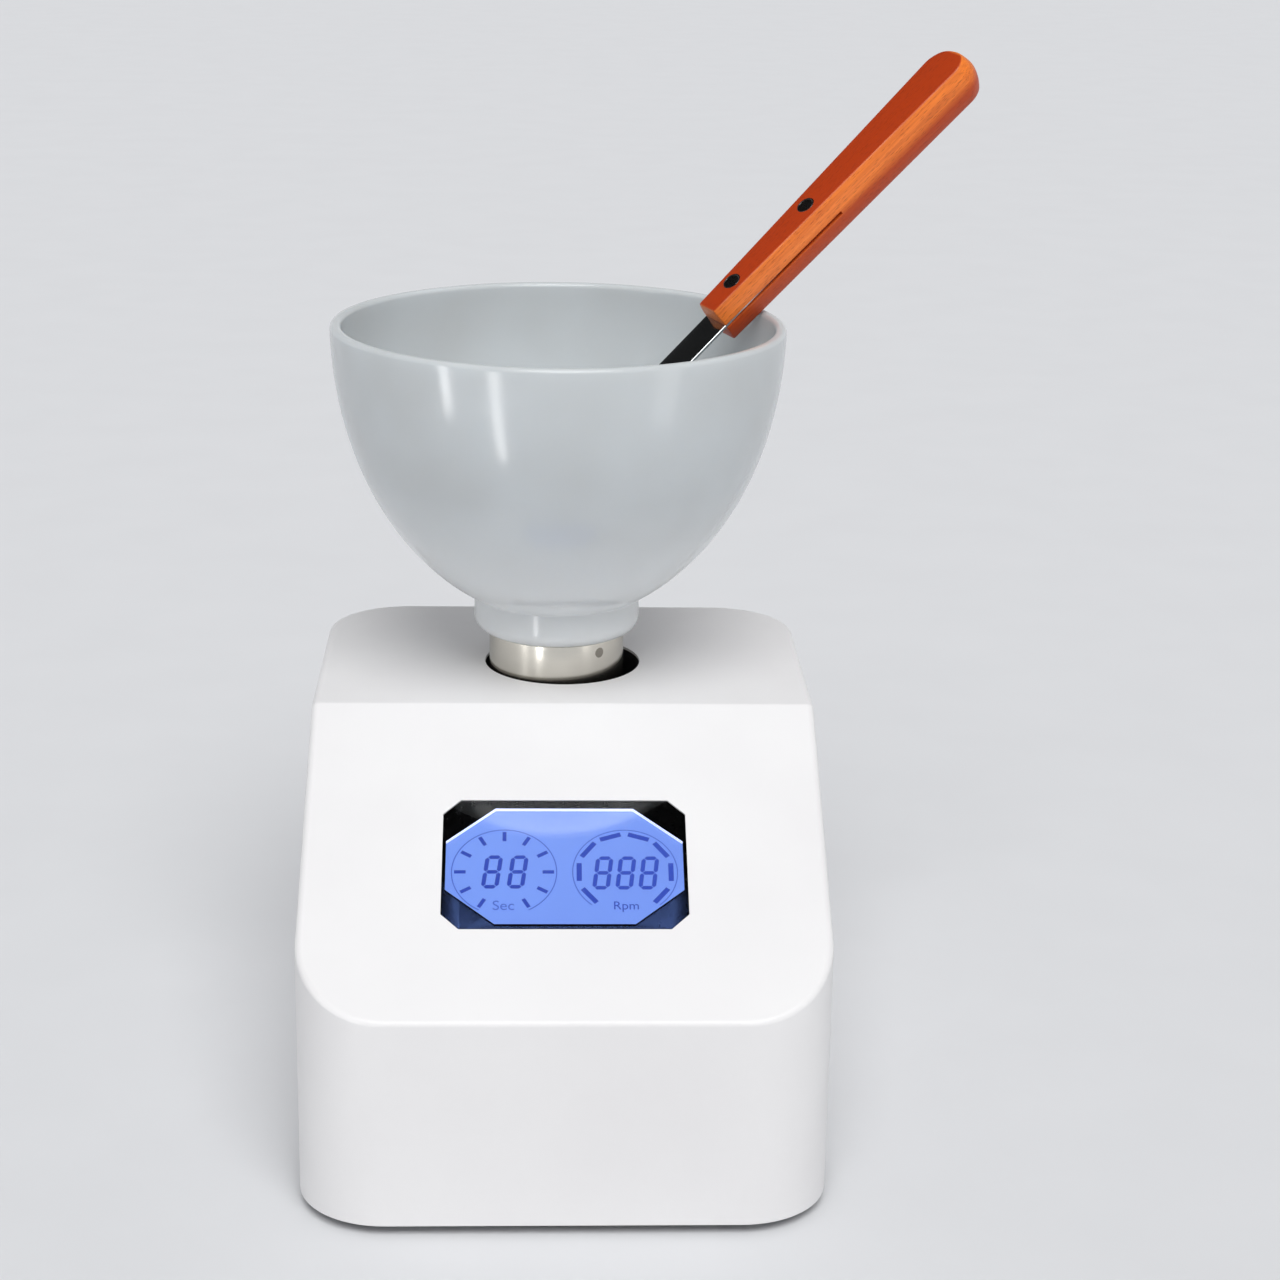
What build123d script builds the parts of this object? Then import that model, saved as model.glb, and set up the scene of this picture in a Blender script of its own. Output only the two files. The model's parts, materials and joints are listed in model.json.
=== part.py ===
from build123d import *

import os
from math import acos, asin, atan2, cos, degrees, hypot, pi, radians, sin, sqrt, tan

# A bench mixer for dental impression material: a case with a display, a motor that turns a
# steel holder through a belt, a silicone bowl that lifts out of the holder, and a spatula.
# Millimetres, +Z up, +Y to the rear. The origin is on the spindle's axis, in the plane that
# the feet stand on.

# ---------------------------------------------------------------------------- case sizes
case_width = 142.0
case_depth = 187.0
case_height = 113.5  # from the case's lower edge to its flat top
front_height = 58.3  # from the case's lower edge to the foot of the sloping panel
top_depth = 94.9  # plan length of the flat top, behind the sloping panel
rear_reach = 55.4  # from the spindle's axis to the rear face
mid_offset = 1.8  # the case's middle is this far to the right of the spindle's axis
corner_radius = 24.0
edge_radius = 2.0
case_wall = 2.6
opening_radius = 22.8
opening_lip = 0.8  # what is left of the wall round the opening, above the collar
boss_radius = 4.5
boss_height = 20.0
boss_side_inset = 13.0  # from the case's sides to the screws of the base plate
boss_end_inset = 16.0  # from the case's front and rear to the same screws
rib_thickness = 2.0
vent_count = 6
vent_pitch = 6.0
vent_width = 2.6
vent_height = 26.0
vent_centre_x = 29.0
vent_centre_z = 82.0

# ---------------------------------------------------------------------------- base sizes
foot_height = 3.0
foot_radius = 8.0
foot_stem_radius = 2.5
foot_barb_radius = 3.5
foot_barb_height = 2.0
foot_side_inset = 25.0
foot_end_inset = 26.0
plate_thickness = 2.0
plate_gap = 0.3  # round the base plate, inside the case
base_slot_count = 9
base_slot_pitch = 7.0
base_slot_length = 34.0
base_slot_width = 2.6
case_screw_radius = 1.6
case_screw_length = 12.0
pan_head_ratio = 1.9  # head radius over shank radius
pan_head_height = 2.0

# ------------------------------------------------------------------------- display sizes
window_width = 66.0
window_height = 43.1
window_cut = 4.8  # how much of each corner is cut off
window_from_ridge = 56.2  # down the slope, from the ridge to the window's middle
window_recess = 0.4
window_gap = 0.15
bezel_thickness = 1.0
bezel_border = 3.2
view_width = 64.2
view_height = 38.6
view_rise = 0.6  # of the view's middle up the slope from the window's
view_cut_x = 13.3
view_cut_y = 11.2
lcd_width = 72.0
lcd_height = 46.0
lcd_thickness = 2.4
backlight_thickness = 4.0
board_thickness = 1.6
display_board_width = 87.0
display_board_height = 52.0
post_radius = 3.0
post_inset_x = 3.5
post_inset_y = 4.5
board_screw_radius = 1.25
board_screw_grip = 6.0
chip_side = 12.0
chip_height = 1.6
plug_block = (20.0, 5.0, 6.0)
buzzer_radius = 6.0
buzzer_height = 7.0

# ---------------------------------------------------------------------- drive train sizes
chassis_thickness = 3.0
chassis_post_height = 40.0
chassis_post_radius = 4.0
chassis_screw_radius = 2.0
chassis_screw_grip = 8.0
chassis_gap = 0.8  # from the case's inner wall
chassis_left = -48.0
chassis_front = -44.0
chassis_post_inset = 9.4  # from the chassis plate's right edge to the post beside it
chassis_left_posts = ((-40.0, -30.0), (46.0, -36.0), (12.0, 46.0))
motor_wall_gap = 6.2  # from the motor to the case's right wall
motor_y = 28.0
motor_radius = 20.0
motor_can_height = 42.0
motor_cap_height = 7.0
motor_pilot_radius = 6.5
motor_shaft_radius = 2.5
motor_screw_radius = 1.5
motor_screw_circle = 13.5
motor_screw_grip = 6.0
motor_pulley_radius = 10.0  # to the belt's middle
motor_hub_radius = 6.5
spindle_pulley_radius = 26.0  # to the belt's middle
spindle_hub_radius = 9.0
pulley_width = 10.0
pulley_hub_height = 16.0
pulley_web = 3.0
pulley_hole_count = 5
pulley_hole_radius = 5.0
belt_height = 31.0  # of the belt's middle above the floor
belt_radius = 2.0
belt_clearance = 0.3
groove_half_angle = 20.0
shaft_radius = 5.0
shaft_end_below_hub = 2.0
bearing_radius = 13.0
bearing_width = 8.0
bearing_race = 2.5  # radial thickness of each ring
bearing_shield = 0.5
shield_gap = 0.3
bearing_block_radius = 17.5
bearing_block_height = 43.0
bearing_flange_radius = 28.0
bearing_flange_thickness = 5.0
bearing_screw_circle = 23.0
bearing_seat_depth = 2.0  # from the block's ends to its bearings
circlip_thickness = 1.2
circlip_width = 1.6
running_gap = 0.05  # radial, between a shaft and what it turns in

# ------------------------------------------------------------------ holder and bowl sizes
holder_radius = 19.75
holder_wall = 2.15
holder_rise = 10.5  # from the case's top to the holder's rim
holder_depth = 22.0
holder_floor = 4.0
holder_chamfer = 0.4  # round the holder's rim, outside
holder_hub_radius = 10.0
holder_hub_height = 10.0
holder_neck_radius = 7.0
holder_screw_radius = 2.5
holder_screw_length = 18.0
set_screw_radius = 2.0
drive_pin_radius = 1.5
drive_pin_length = 6.3
drive_pin_drop = 3.2  # from the holder's rim to the pins' middle
drive_pin_angle = -51.3
drive_pin_count = 2
collar_wall = 1.6
collar_gap = 0.2
collar_flange = 5.0
collar_height = 19.0
collar_floor = 1.5
collar_hub_gap = 1.5

bowl_radius = 65.0
bowl_height = 90.8  # from the holder's rim to the bowl's rim
bowl_curve_depth = 86.5  # of the outer quarter ellipse, below the bowl's rim
bowl_wall = 3.2
bowl_floor = 6.5
bowl_lip_radius = 1.3
bowl_foot_radius = 24.2
bowl_foot_round = 4.4
bowl_neck_round = 1.5
stub_length = 20.0
stub_gap = 0.1
stub_chamfer = 1.0
keyway_gap = 0.3

# -------------------------------------------------------------------------- spatula sizes
spatula_azimuth_angle = 23.6
spatula_lean_angle = 41.4  # above the horizontal
spatula_roll_angle = -8.2
spatula_offset = -5.1  # of the handle's line from the bowl's axis
rest_gap = 0.3
blade_length = 101.3
blade_thickness = 1.0
blade_neck_width = 10.6
blade_neck_length = 22.0
blade_width = 21.0
blade_full_from = 52.0  # from the handle to where the blade is at its widest
handle_length = 109.0
handle_thickness = 12.3
handle_near_width = 11.1
handle_far_width = 17.6
handle_crown = 1.6  # how far the handle's narrow sides bulge
handle_end_round = 3.5
handle_ridge_round = 0.5
tang_length = 48.0
rivet_radius = 2.8
rivet_first = 11.0
rivet_pitch = 31.5

# -------------------------------------------------------------------- power inlet sizes
inlet_x = -19.0
inlet_z = 27.0
inlet_flange_width = 50.0
inlet_flange_height = 33.0
inlet_flange_thickness = 2.5
inlet_body_width = 28.0
inlet_body_height = 31.0
inlet_body_depth = 21.0
inlet_panel_gap = 0.3
inlet_screw_spacing = 40.0
inlet_screw_radius = 1.5
socket_width = 24.4
socket_height = 16.4
socket_cut = 4.0
socket_depth = 17.0
socket_rise = 5.4  # of the socket's middle above the inlet's
pin_width = 4.0
pin_thickness = 2.0
pin_length = 14.0
pin_spacing = 7.0
pin_earth_rise = 2.0
drawer_width = 22.0
drawer_height = 8.0
drawer_depth = 16.0
drawer_drop = 9.2  # of the drawer's middle below the inlet's
drawer_gap = 0.2
drawer_wall = 1.2
drawer_pull = 1.2
fuse_radius = 2.5
fuse_length = 18.4
fuse_cap_length = 5.0
fuse_cap_wall = 0.3
terminal_length = 7.0
terminal_width = 4.8
terminal_thickness = 0.8

# ------------------------------------------------------------------- power switch sizes
switch_x = -19.0
switch_z = 72.0
switch_bezel_width = 15.0
switch_bezel_height = 21.0
switch_bezel_proud = 2.0
switch_body_width = 13.2
switch_body_height = 19.2
switch_body_depth = 14.0
rocker_width = 10.2
rocker_half_height = 7.4
rocker_angle = 12.0  # each way from level
rocker_gap = 0.25
rocker_back = 3.5
rocker_back_half = 5.0
rocker_pivot_depth = 2.7  # of the pivot, inside the rear face
rocker_valley = 0.4  # of the rocker's lowest line, outside the rear face
rocker_pin_radius = 1.2
rocker_pin_length = 0.9

# --------------------------------------------------------------------- power board sizes
power_board_side_gap = 21.0  # from the board's ends to the case's sides
power_board_front_gap = 13.6  # from the board to the case's front
power_board_rear_gap = 10.0  # from the board to the chassis plate's front edge, in plan
power_board_rise = 8.0
power_post_radius = 3.0
power_post_inset = 4.0
power_screw_radius = 1.5
transformer_size = (34.0, 28.0, 26.0)
transformer_core = (22.0, 34.0, 20.0)
transformer_at = (-8.0, 10.0)
capacitor_radii = (9.0, 5.0, 5.0)
capacitor_heights = (28.0, 16.0, 16.0)
capacitor_places = ((-36.0, 10.0), (-38.0, -14.0), (-24.0, -22.0))
sink_width = 46.0
sink_height = 24.0
sink_base = 3.0
sink_fin_count = 7
sink_fin_depth = 9.0
sink_fin_thickness = 1.4
sink_at = (16.0, -18.0)
choke_radius = 9.0
choke_bore = 4.0
choke_height = 10.0
choke_at = (36.0, 14.0)
transistor_size = (10.0, 4.4, 15.0)
transistor_pitch = 22.0

# ------------------------------------------------------------------------ derived places
plate_bottom = foot_height
plate_top = plate_bottom + plate_thickness
case_bottom = foot_height
case_top = case_bottom + case_height
rear_y = rear_reach
front_y = rear_y - case_depth
mid_y = (rear_y + front_y) / 2
slope_run = case_depth - top_depth
ridge_y = front_y + slope_run
slope_drop = case_height - front_height
slope_angle = atan2(slope_drop, slope_run)
panel = Plane(
    origin=(mid_offset, ridge_y, case_top),
    x_dir=(1, 0, 0),
    z_dir=(0, -sin(slope_angle), cos(slope_angle)),
)
window_plane = Plane(
    origin=panel.from_local_coords((0, -window_from_ridge, 0)),
    x_dir=(1, 0, 0),
    z_dir=panel.z_dir,
)
rear_plane = Plane(origin=(0, rear_y, 0), x_dir=(-1, 0, 0), z_dir=(0, 1, 0))

inner_right = mid_offset + case_width / 2 - case_wall
motor_x = inner_right - motor_wall_gap - motor_radius
chassis_right = inner_right - chassis_gap
chassis_posts = ((chassis_right - chassis_post_inset, 4.0), *chassis_left_posts)
chassis_bottom = plate_top + chassis_post_height
chassis_top = chassis_bottom + chassis_thickness
block_top = chassis_top + bearing_block_height
holder_top = case_top + holder_rise
holder_floor_top = holder_top - holder_depth
holder_floor_bottom = holder_floor_top - holder_floor
holder_hub_bottom = holder_floor_bottom - holder_hub_height
lower_bearing_z = chassis_top + bearing_seat_depth
upper_bearing_z = block_top - bearing_seat_depth - bearing_width
pulley_hub_bottom = belt_height - pulley_width / 2
shaft_bottom = pulley_hub_bottom - shaft_end_below_hub

power_board_width = case_width - 2 * power_board_side_gap
power_board_front = front_y + power_board_front_gap
power_board_rear = chassis_front - power_board_rear_gap
power_board_depth = power_board_rear - power_board_front
power_board_y = (power_board_rear + power_board_front) / 2

holder_bore = holder_radius - holder_wall
stub_radius = holder_bore - stub_gap
rim_z = holder_top + bowl_height
bowl_inner_radius = bowl_radius - bowl_wall
bowl_inner_depth = bowl_curve_depth - bowl_floor


# ------------------------------------------------------------------------ small helpers
def rod(radius, bottom, top, at=(0, 0)):
    """Upright cylinder between two heights."""
    lift = Pos(at[0], at[1], bottom)
    return lift * Cylinder(radius, top - bottom, align=(Align.CENTER, Align.CENTER, Align.MIN))


def tube(outer, inner, bottom, top, at=(0, 0)):
    """Upright tube between two heights."""
    return rod(outer, bottom, top, at) - rod(inner, bottom, top, at)


def slab(face, bottom, top):
    """A flat face in the XY plane, made solid between two heights."""
    return Pos(0, 0, bottom) * extrude(face, top - bottom, dir=(0, 0, 1))


def block(size, centre, bottom):
    """Upright box that stands at a height."""
    return Pos(centre[0], centre[1], bottom) * Box(*size, align=(Align.CENTER, Align.CENTER, Align.MIN))


def octagon(width, height, cut_x, cut_y):
    """A rectangle with its corners cut off."""
    x, y = width / 2, height / 2
    corners = [(x, y - cut_y), (x - cut_x, y), (cut_x - x, y), (-x, y - cut_y)]
    corners += [(-a, -b) for a, b in corners]
    return make_face(Polyline(*corners, close=True))


def spun(points):
    """A solid of revolution about Z from the corners of its half section."""
    return revolve(make_face(Plane.XZ * Polyline(*points, close=True)), Axis.Z)


def screw(radius, grip, at, seat, up=True):
    """Pan-head screw whose head rests on a seat; its shank points up, or else down."""
    reach = seat + grip if up else seat - grip
    head = seat - pan_head_height if up else seat + pan_head_height
    shank = rod(radius, min(seat, reach), max(seat, reach), at)
    cap = rod(radius * pan_head_ratio, min(seat, head), max(seat, head), at)
    slot_bottom = head if up else head - pan_head_height / 2
    slot = block((radius / 2, radius * 2.4, pan_head_height / 2), at, slot_bottom)
    return shank + cap - slot


def corners_of(side_inset, end_inset):
    """The four places at these distances from the case's sides and ends."""
    half = case_width / 2 - side_inset
    return [
        (mid_offset + sx * half, y)
        for sx in (-1, 1)
        for y in (front_y + end_inset, rear_y - end_inset)
    ]


def ring_of(count, radius, first=0.0, centre=(0, 0)):
    """Evenly spaced places on a circle."""
    turns = [radians(first) + 2 * pi * i / count for i in range(count)]
    return [(centre[0] + radius * cos(t), centre[1] + radius * sin(t)) for t in turns]


boss_places = corners_of(boss_side_inset, boss_end_inset)
foot_places = corners_of(foot_side_inset, foot_end_inset)
motor_screw_places = ring_of(4, motor_screw_circle, 45, (motor_x, motor_y))
bearing_screw_places = ring_of(4, bearing_screw_circle, 45)
post_places = [
    (sx * (display_board_width / 2 - post_inset_x), sy * (display_board_height / 2 - post_inset_y))
    for sx in (-1, 1)
    for sy in (-1, 1)
]
power_post_places = [
    (
        mid_offset + sx * (power_board_width / 2 - power_post_inset),
        power_board_y + sy * (power_board_depth / 2 - power_post_inset),
    )
    for sx in (-1, 1)
    for sy in (-1, 1)
]


# -------------------------------------------------------------------------------- case
def case_form(inset):
    """The case's outer form as a solid, drawn in by an even inset on every side but the bottom."""
    plan = RectangleRounded(case_width - 2 * inset, case_depth - 2 * inset, corner_radius - inset)
    body = slab(Pos(mid_offset, mid_y) * plan, case_bottom, case_top - inset)
    over_slope = Pos(0, 0, case_height) * Box(2 * case_width, 3 * slope_run, 2 * case_height)
    return body - panel.offset(-inset) * over_slope


def case_bosses():
    """Screw bosses by the corners, each tied to the walls by two ribs."""
    ribs = Part()
    top = plate_top + boss_height
    for x, y in boss_places:
        ribs += rod(boss_radius, plate_top, top, (x, y))
        to_side = boss_side_inset if x > mid_offset else -boss_side_inset
        to_end = boss_end_inset if y > mid_y else -boss_end_inset
        side_rib = (abs(to_side), rib_thickness, boss_height)
        end_rib = (rib_thickness, abs(to_end), boss_height)
        ribs += block(side_rib, (x + to_side / 2, y), plate_top)
        ribs += block(end_rib, (x, y + to_end / 2), plate_top)
    return ribs & case_form(case_wall / 2)


def display_posts():
    """Posts under the sloping panel that carry the display board."""
    bottom = -(case_wall + bezel_thickness + lcd_thickness + backlight_thickness)
    posts = [rod(post_radius, bottom, -case_wall / 2, at) for at in post_places]
    return window_plane * (Part() + posts)


def case_cuts():
    """Everything that is cut out of the case's walls."""
    opening_at = (mid_offset, 0)
    collar_outer = opening_radius + collar_gap + collar_wall
    cuts = rod(opening_radius, case_top - 2 * case_wall, case_top + case_wall, opening_at)
    cuts += rod(collar_outer, case_top - 2 * case_wall, case_top - opening_lip, opening_at)
    window = octagon(window_width, window_height, window_cut, window_cut)
    cuts += window_plane * slab(window, -case_wall * 1.5, case_wall)
    gap = 2 * inlet_panel_gap
    inlet_hole = Box(inlet_body_width + gap, inlet_body_height + gap, 4 * case_wall)
    cuts += rear_plane * Pos(-inlet_x, inlet_z) * inlet_hole
    switch_hole = Box(switch_body_width + gap, switch_body_height + gap, 4 * case_wall)
    cuts += rear_plane * Pos(-switch_x, switch_z) * switch_hole
    for at in inlet_screw_places():
        cuts += rear_plane * Pos(*at) * Cylinder(inlet_screw_radius, 4 * case_wall)
    vent = SlotOverall(vent_height, vent_width, rotation=90)
    for i in range(vent_count):
        x = vent_centre_x + (i - (vent_count - 1) / 2) * vent_pitch
        cuts += rear_plane * Pos(-x, vent_centre_z) * slab(vent, -2 * case_wall, case_wall)
    return cuts


def case_shell():
    """The moulded cover."""
    outer = case_form(0)
    upper = [e for e in outer.edges() if e.center().Z > case_bottom + edge_radius]
    rounded = [e for e in upper if abs((e % 0.5).Z) < 0.99]
    shell = fillet(rounded, edge_radius) - case_form(case_wall)
    shell = shell + case_bosses() + display_posts() - case_cuts()
    for at in boss_places:
        shell -= rod(case_screw_radius, plate_top, plate_bottom + case_screw_length, at)
    posts_end = -(case_wall + bezel_thickness + lcd_thickness + backlight_thickness)
    for at in post_places:
        hole = rod(board_screw_radius, posts_end, posts_end - board_thickness + board_screw_grip, at)
        shell -= window_plane * hole
    return shell


def splash_collar():
    """Dark ring under the opening, with a floor that reaches to the holder's hub."""
    at = (mid_offset, 0)
    inner = opening_radius + collar_gap
    outer = inner + collar_wall
    top = case_top - opening_lip
    bottom = top - collar_height
    ring = tube(outer, inner, bottom, top, at)
    under_roof = case_top - case_wall
    ring += tube(outer + collar_flange, inner, under_roof - collar_floor, under_roof, at)
    ring += rod(outer, bottom, bottom + collar_floor, at)
    return ring - rod(holder_hub_radius + collar_hub_gap, bottom - 1, bottom + collar_floor + 1)


# -------------------------------------------------------------------------------- base
def base_plate():
    """Pressed plate that closes the case from below."""
    inset = case_wall + plate_gap
    plan = RectangleRounded(case_width - 2 * inset, case_depth - 2 * inset, corner_radius - inset)
    plate = slab(Pos(mid_offset, mid_y) * plan, plate_bottom, plate_top)
    holes = [(case_screw_radius, boss_places), (foot_stem_radius, foot_places)]
    holes += [(chassis_screw_radius, chassis_posts), (power_screw_radius, power_post_places)]
    for radius, places in holes:
        for at in places:
            plate -= rod(radius, plate_bottom, plate_top, at)
    slot = SlotOverall(base_slot_length, base_slot_width, rotation=90)
    for i in range(base_slot_count):
        x = mid_offset + (i - (base_slot_count - 1) / 2) * base_slot_pitch
        plate -= slab(Pos(x, power_board_y) * slot, plate_bottom, plate_top)
    return plate


def rubber_foot(at):
    """Round foot with a stem that is pressed through the base plate."""
    disc = rod(foot_radius, 0, plate_bottom, at)
    disc = chamfer(disc.edges().sort_by(Axis.Z)[0], foot_height / 4)
    stem = rod(foot_stem_radius, plate_bottom, plate_top, at)
    return disc + stem + rod(foot_barb_radius, plate_top, plate_top + foot_barb_height, at)


# ----------------------------------------------------------------------------- display
def display():
    """Window, bezel, liquid crystal cell, backlight and board, all square to the slope."""
    bezel_top = -case_wall
    lcd_top = bezel_top - bezel_thickness
    light_top = lcd_top - lcd_thickness
    board_top = light_top - backlight_thickness
    board_bottom = board_top - board_thickness
    gap = 2 * window_gap
    lens = octagon(window_width - gap, window_height - gap, window_cut, window_cut)
    border = 2 * bezel_border
    frame = octagon(window_width + border, window_height + border, window_cut, window_cut)
    view = Pos(0, view_rise) * octagon(view_width, view_height, view_cut_x, view_cut_y)
    cell = Rectangle(lcd_width, lcd_height)
    board = slab(Rectangle(display_board_width, display_board_height), board_bottom, board_top)
    screws = []
    for at in post_places:
        board -= rod(board_screw_radius, board_bottom, board_top, at)
        screws.append(screw(board_screw_radius, board_screw_grip, at, board_bottom))
    chips = [
        block((chip_side, chip_side, chip_height), (-lcd_width / 6, 0), board_bottom - chip_height),
        block(plug_block, (lcd_width / 6, -lcd_height / 4), board_bottom - plug_block[2]),
        rod(buzzer_radius, board_bottom - buzzer_height, board_bottom, (lcd_width / 6, lcd_height / 4)),
    ]
    return {
        "display_window": window_plane * slab(lens, bezel_top, -window_recess),
        "display_bezel": window_plane * (slab(frame, lcd_top, bezel_top) - slab(view, lcd_top, bezel_top)),
        "lcd_cell": window_plane * slab(cell, light_top, lcd_top),
        "lcd_backlight": window_plane * slab(cell, board_top, light_top),
        "display_board": window_plane * board,
        "display_board_screws": [window_plane * s for s in screws],
        "display_components": [window_plane * c for c in chips],
    }


# ------------------------------------------------------------------------- drive train
def chassis():
    """Steel plate on four posts, which carries the motor and the spindle's bearings."""
    right = mid_offset + case_width / 2
    width = right - chassis_left
    depth = rear_y - chassis_front
    sheet = Pos(chassis_left + width / 2, chassis_front + depth / 2) * Rectangle(width, depth)
    inset = case_wall + chassis_gap
    plan = RectangleRounded(case_width - 2 * inset, case_depth - 2 * inset, corner_radius - inset)
    plate = slab(sheet & Pos(mid_offset, mid_y) * plan, chassis_bottom, chassis_top)
    holes = [(chassis_screw_radius, chassis_posts + tuple(bearing_screw_places))]
    holes += [(motor_screw_radius, motor_screw_places)]
    holes += [(motor_pilot_radius, [(motor_x, motor_y)]), (spindle_hub_radius, [(0, 0)])]
    for radius, places in holes:
        for at in places:
            plate -= rod(radius, chassis_bottom, chassis_top, at)
    posts = []
    screws = []
    for at in chassis_posts:
        hexagon = Pos(*at) * RegularPolygon(chassis_post_radius, 6)
        post = slab(hexagon, plate_top, chassis_bottom)
        post -= rod(chassis_screw_radius, chassis_bottom - chassis_screw_grip, chassis_bottom, at)
        post -= rod(chassis_screw_radius, plate_top, plate_top + chassis_screw_grip, at)
        posts.append(post)
        grip = chassis_screw_grip
        screws.append(screw(chassis_screw_radius, grip + chassis_thickness, at, chassis_top, up=False))
        screws.append(screw(chassis_screw_radius, grip + plate_thickness, at, plate_bottom))
    return {"chassis_plate": plate, "chassis_posts": posts, "chassis_screws": screws}


def bearing_outer(bottom):
    """Outer ring with a shield at each side."""
    top = bottom + bearing_width
    ring = tube(bearing_radius, bearing_radius - bearing_race, bottom, top)
    bore = shaft_radius + bearing_race + shield_gap
    low = bottom + bearing_shield
    high = top - 2 * bearing_shield
    ring += tube(bearing_radius - bearing_race, bore, low, low + bearing_shield)
    return ring + tube(bearing_radius - bearing_race, bore, high, high + bearing_shield)


def bearings():
    """Bearing block with two ball bearings, and the rings that keep them in."""
    body = rod(bearing_block_radius, chassis_top, block_top)
    body += rod(bearing_flange_radius, chassis_top, chassis_top + bearing_flange_thickness)
    shoulder = bearing_radius - bearing_race
    body -= rod(shoulder, chassis_top, block_top)
    body -= rod(bearing_radius, chassis_top, lower_bearing_z + bearing_width)
    body -= rod(bearing_radius, upper_bearing_z, block_top)
    clip_bottom = upper_bearing_z + bearing_width
    clip_radius = bearing_radius + circlip_width / 2
    body -= rod(clip_radius, clip_bottom, clip_bottom + circlip_thickness)
    screws = []
    for at in bearing_screw_places:
        body -= rod(chassis_screw_radius, chassis_top, chassis_top + bearing_flange_thickness, at)
        grip = bearing_flange_thickness + chassis_thickness
        screws.append(
            screw(chassis_screw_radius, grip, at, chassis_top + bearing_flange_thickness, up=False)
        )
    clip_inner = clip_radius - circlip_width
    clip = tube(clip_radius, clip_inner, clip_bottom, clip_bottom + circlip_thickness)
    clip -= block((2 * circlip_width, clip_radius, circlip_thickness), (0, clip_radius), clip_bottom)
    race = shaft_radius + bearing_race
    inner_rings = [
        tube(race, shaft_radius, z, z + bearing_width) for z in (lower_bearing_z, upper_bearing_z)
    ]
    return {
        "bearing_block": body,
        "bearing_block_screws": screws,
        "bearing_outer_rings": [bearing_outer(lower_bearing_z), bearing_outer(upper_bearing_z)],
        "bearing_inner_rings": inner_rings,
        "block_circlip": clip,
    }


def pulley(pitch, hub, bore, at, set_screw_side):
    """Grooved pulley and its set screw. The hub stands up above the rim."""
    bottom = belt_height - pulley_width / 2
    top = belt_height + pulley_width / 2
    reach = belt_radius + belt_clearance
    half_middle = reach / cos(radians(groove_half_angle))
    lean = tan(radians(groove_half_angle))
    outer = pitch + reach
    groove_floor = pitch - reach
    low_half = half_middle - reach * lean
    high_half = half_middle + reach * lean
    section = [
        (bore, bottom),
        (outer, bottom),
        (outer, belt_height - high_half),
        (groove_floor, belt_height - low_half),
        (groove_floor, belt_height + low_half),
        (outer, belt_height + high_half),
        (outer, top),
        (hub, top),
        (hub, bottom + pulley_hub_height),
        (bore, bottom + pulley_hub_height),
    ]
    wheel = spun(section)
    screw_z = (top + bottom + pulley_hub_height) / 2
    turn = Rot(0, 0, set_screw_side) * Pos(0, 0, screw_z) * Rot(0, 90, 0)
    grub = turn * rod(set_screw_radius, bore, hub)
    grub -= turn * slab(RegularPolygon(set_screw_radius / 2, 6), hub - set_screw_radius / 2, hub)
    wheel -= turn * rod(set_screw_radius, 0, hub + 1)
    return Pos(*at) * wheel, Pos(*at) * grub


def spindle_pulley():
    """The large pulley: its web is thinner than its rim, with round holes in it."""
    wheel, grub = pulley(spindle_pulley_radius, spindle_hub_radius, shaft_radius, (0, 0), 200)
    rim_inner = spindle_pulley_radius - 2 * (belt_radius + belt_clearance)
    bottom = belt_height - pulley_width / 2
    for low, high in (
        (bottom, belt_height - pulley_web / 2),
        (belt_height + pulley_web / 2, bottom + pulley_width),
    ):
        wheel -= tube(rim_inner, spindle_hub_radius, low, high)
    middle = (rim_inner + spindle_hub_radius) / 2
    for at in ring_of(pulley_hole_count, middle):
        wheel -= rod(pulley_hole_radius, bottom, bottom + pulley_width, at)
    return wheel, grub


def drive_belt():
    """Round belt: two straight runs that are tangent to an arc round each pulley."""
    centres = Vector(motor_x, motor_y, 0)
    along = centres.normalized()
    across = Vector(-along.Y, along.X, 0)
    lean = asin((spindle_pulley_radius - motor_pulley_radius) / centres.length)
    sides = [along * sin(lean) + across * (s * cos(lean)) for s in (1, -1)]
    big = [n * spindle_pulley_radius for n in sides]
    small = [centres + n * motor_pulley_radius for n in sides]
    path = Wire(
        [
            Line(big[0], small[0]),
            ThreePointArc(small[0], centres + along * motor_pulley_radius, small[1]),
            Line(small[1], big[1]),
            ThreePointArc(big[1], along * -spindle_pulley_radius, big[0]),
        ]
    )
    section = Plane(origin=big[0], z_dir=small[0] - big[0]) * Circle(belt_radius)
    return Pos(0, 0, belt_height) * sweep(section, path=path)


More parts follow.
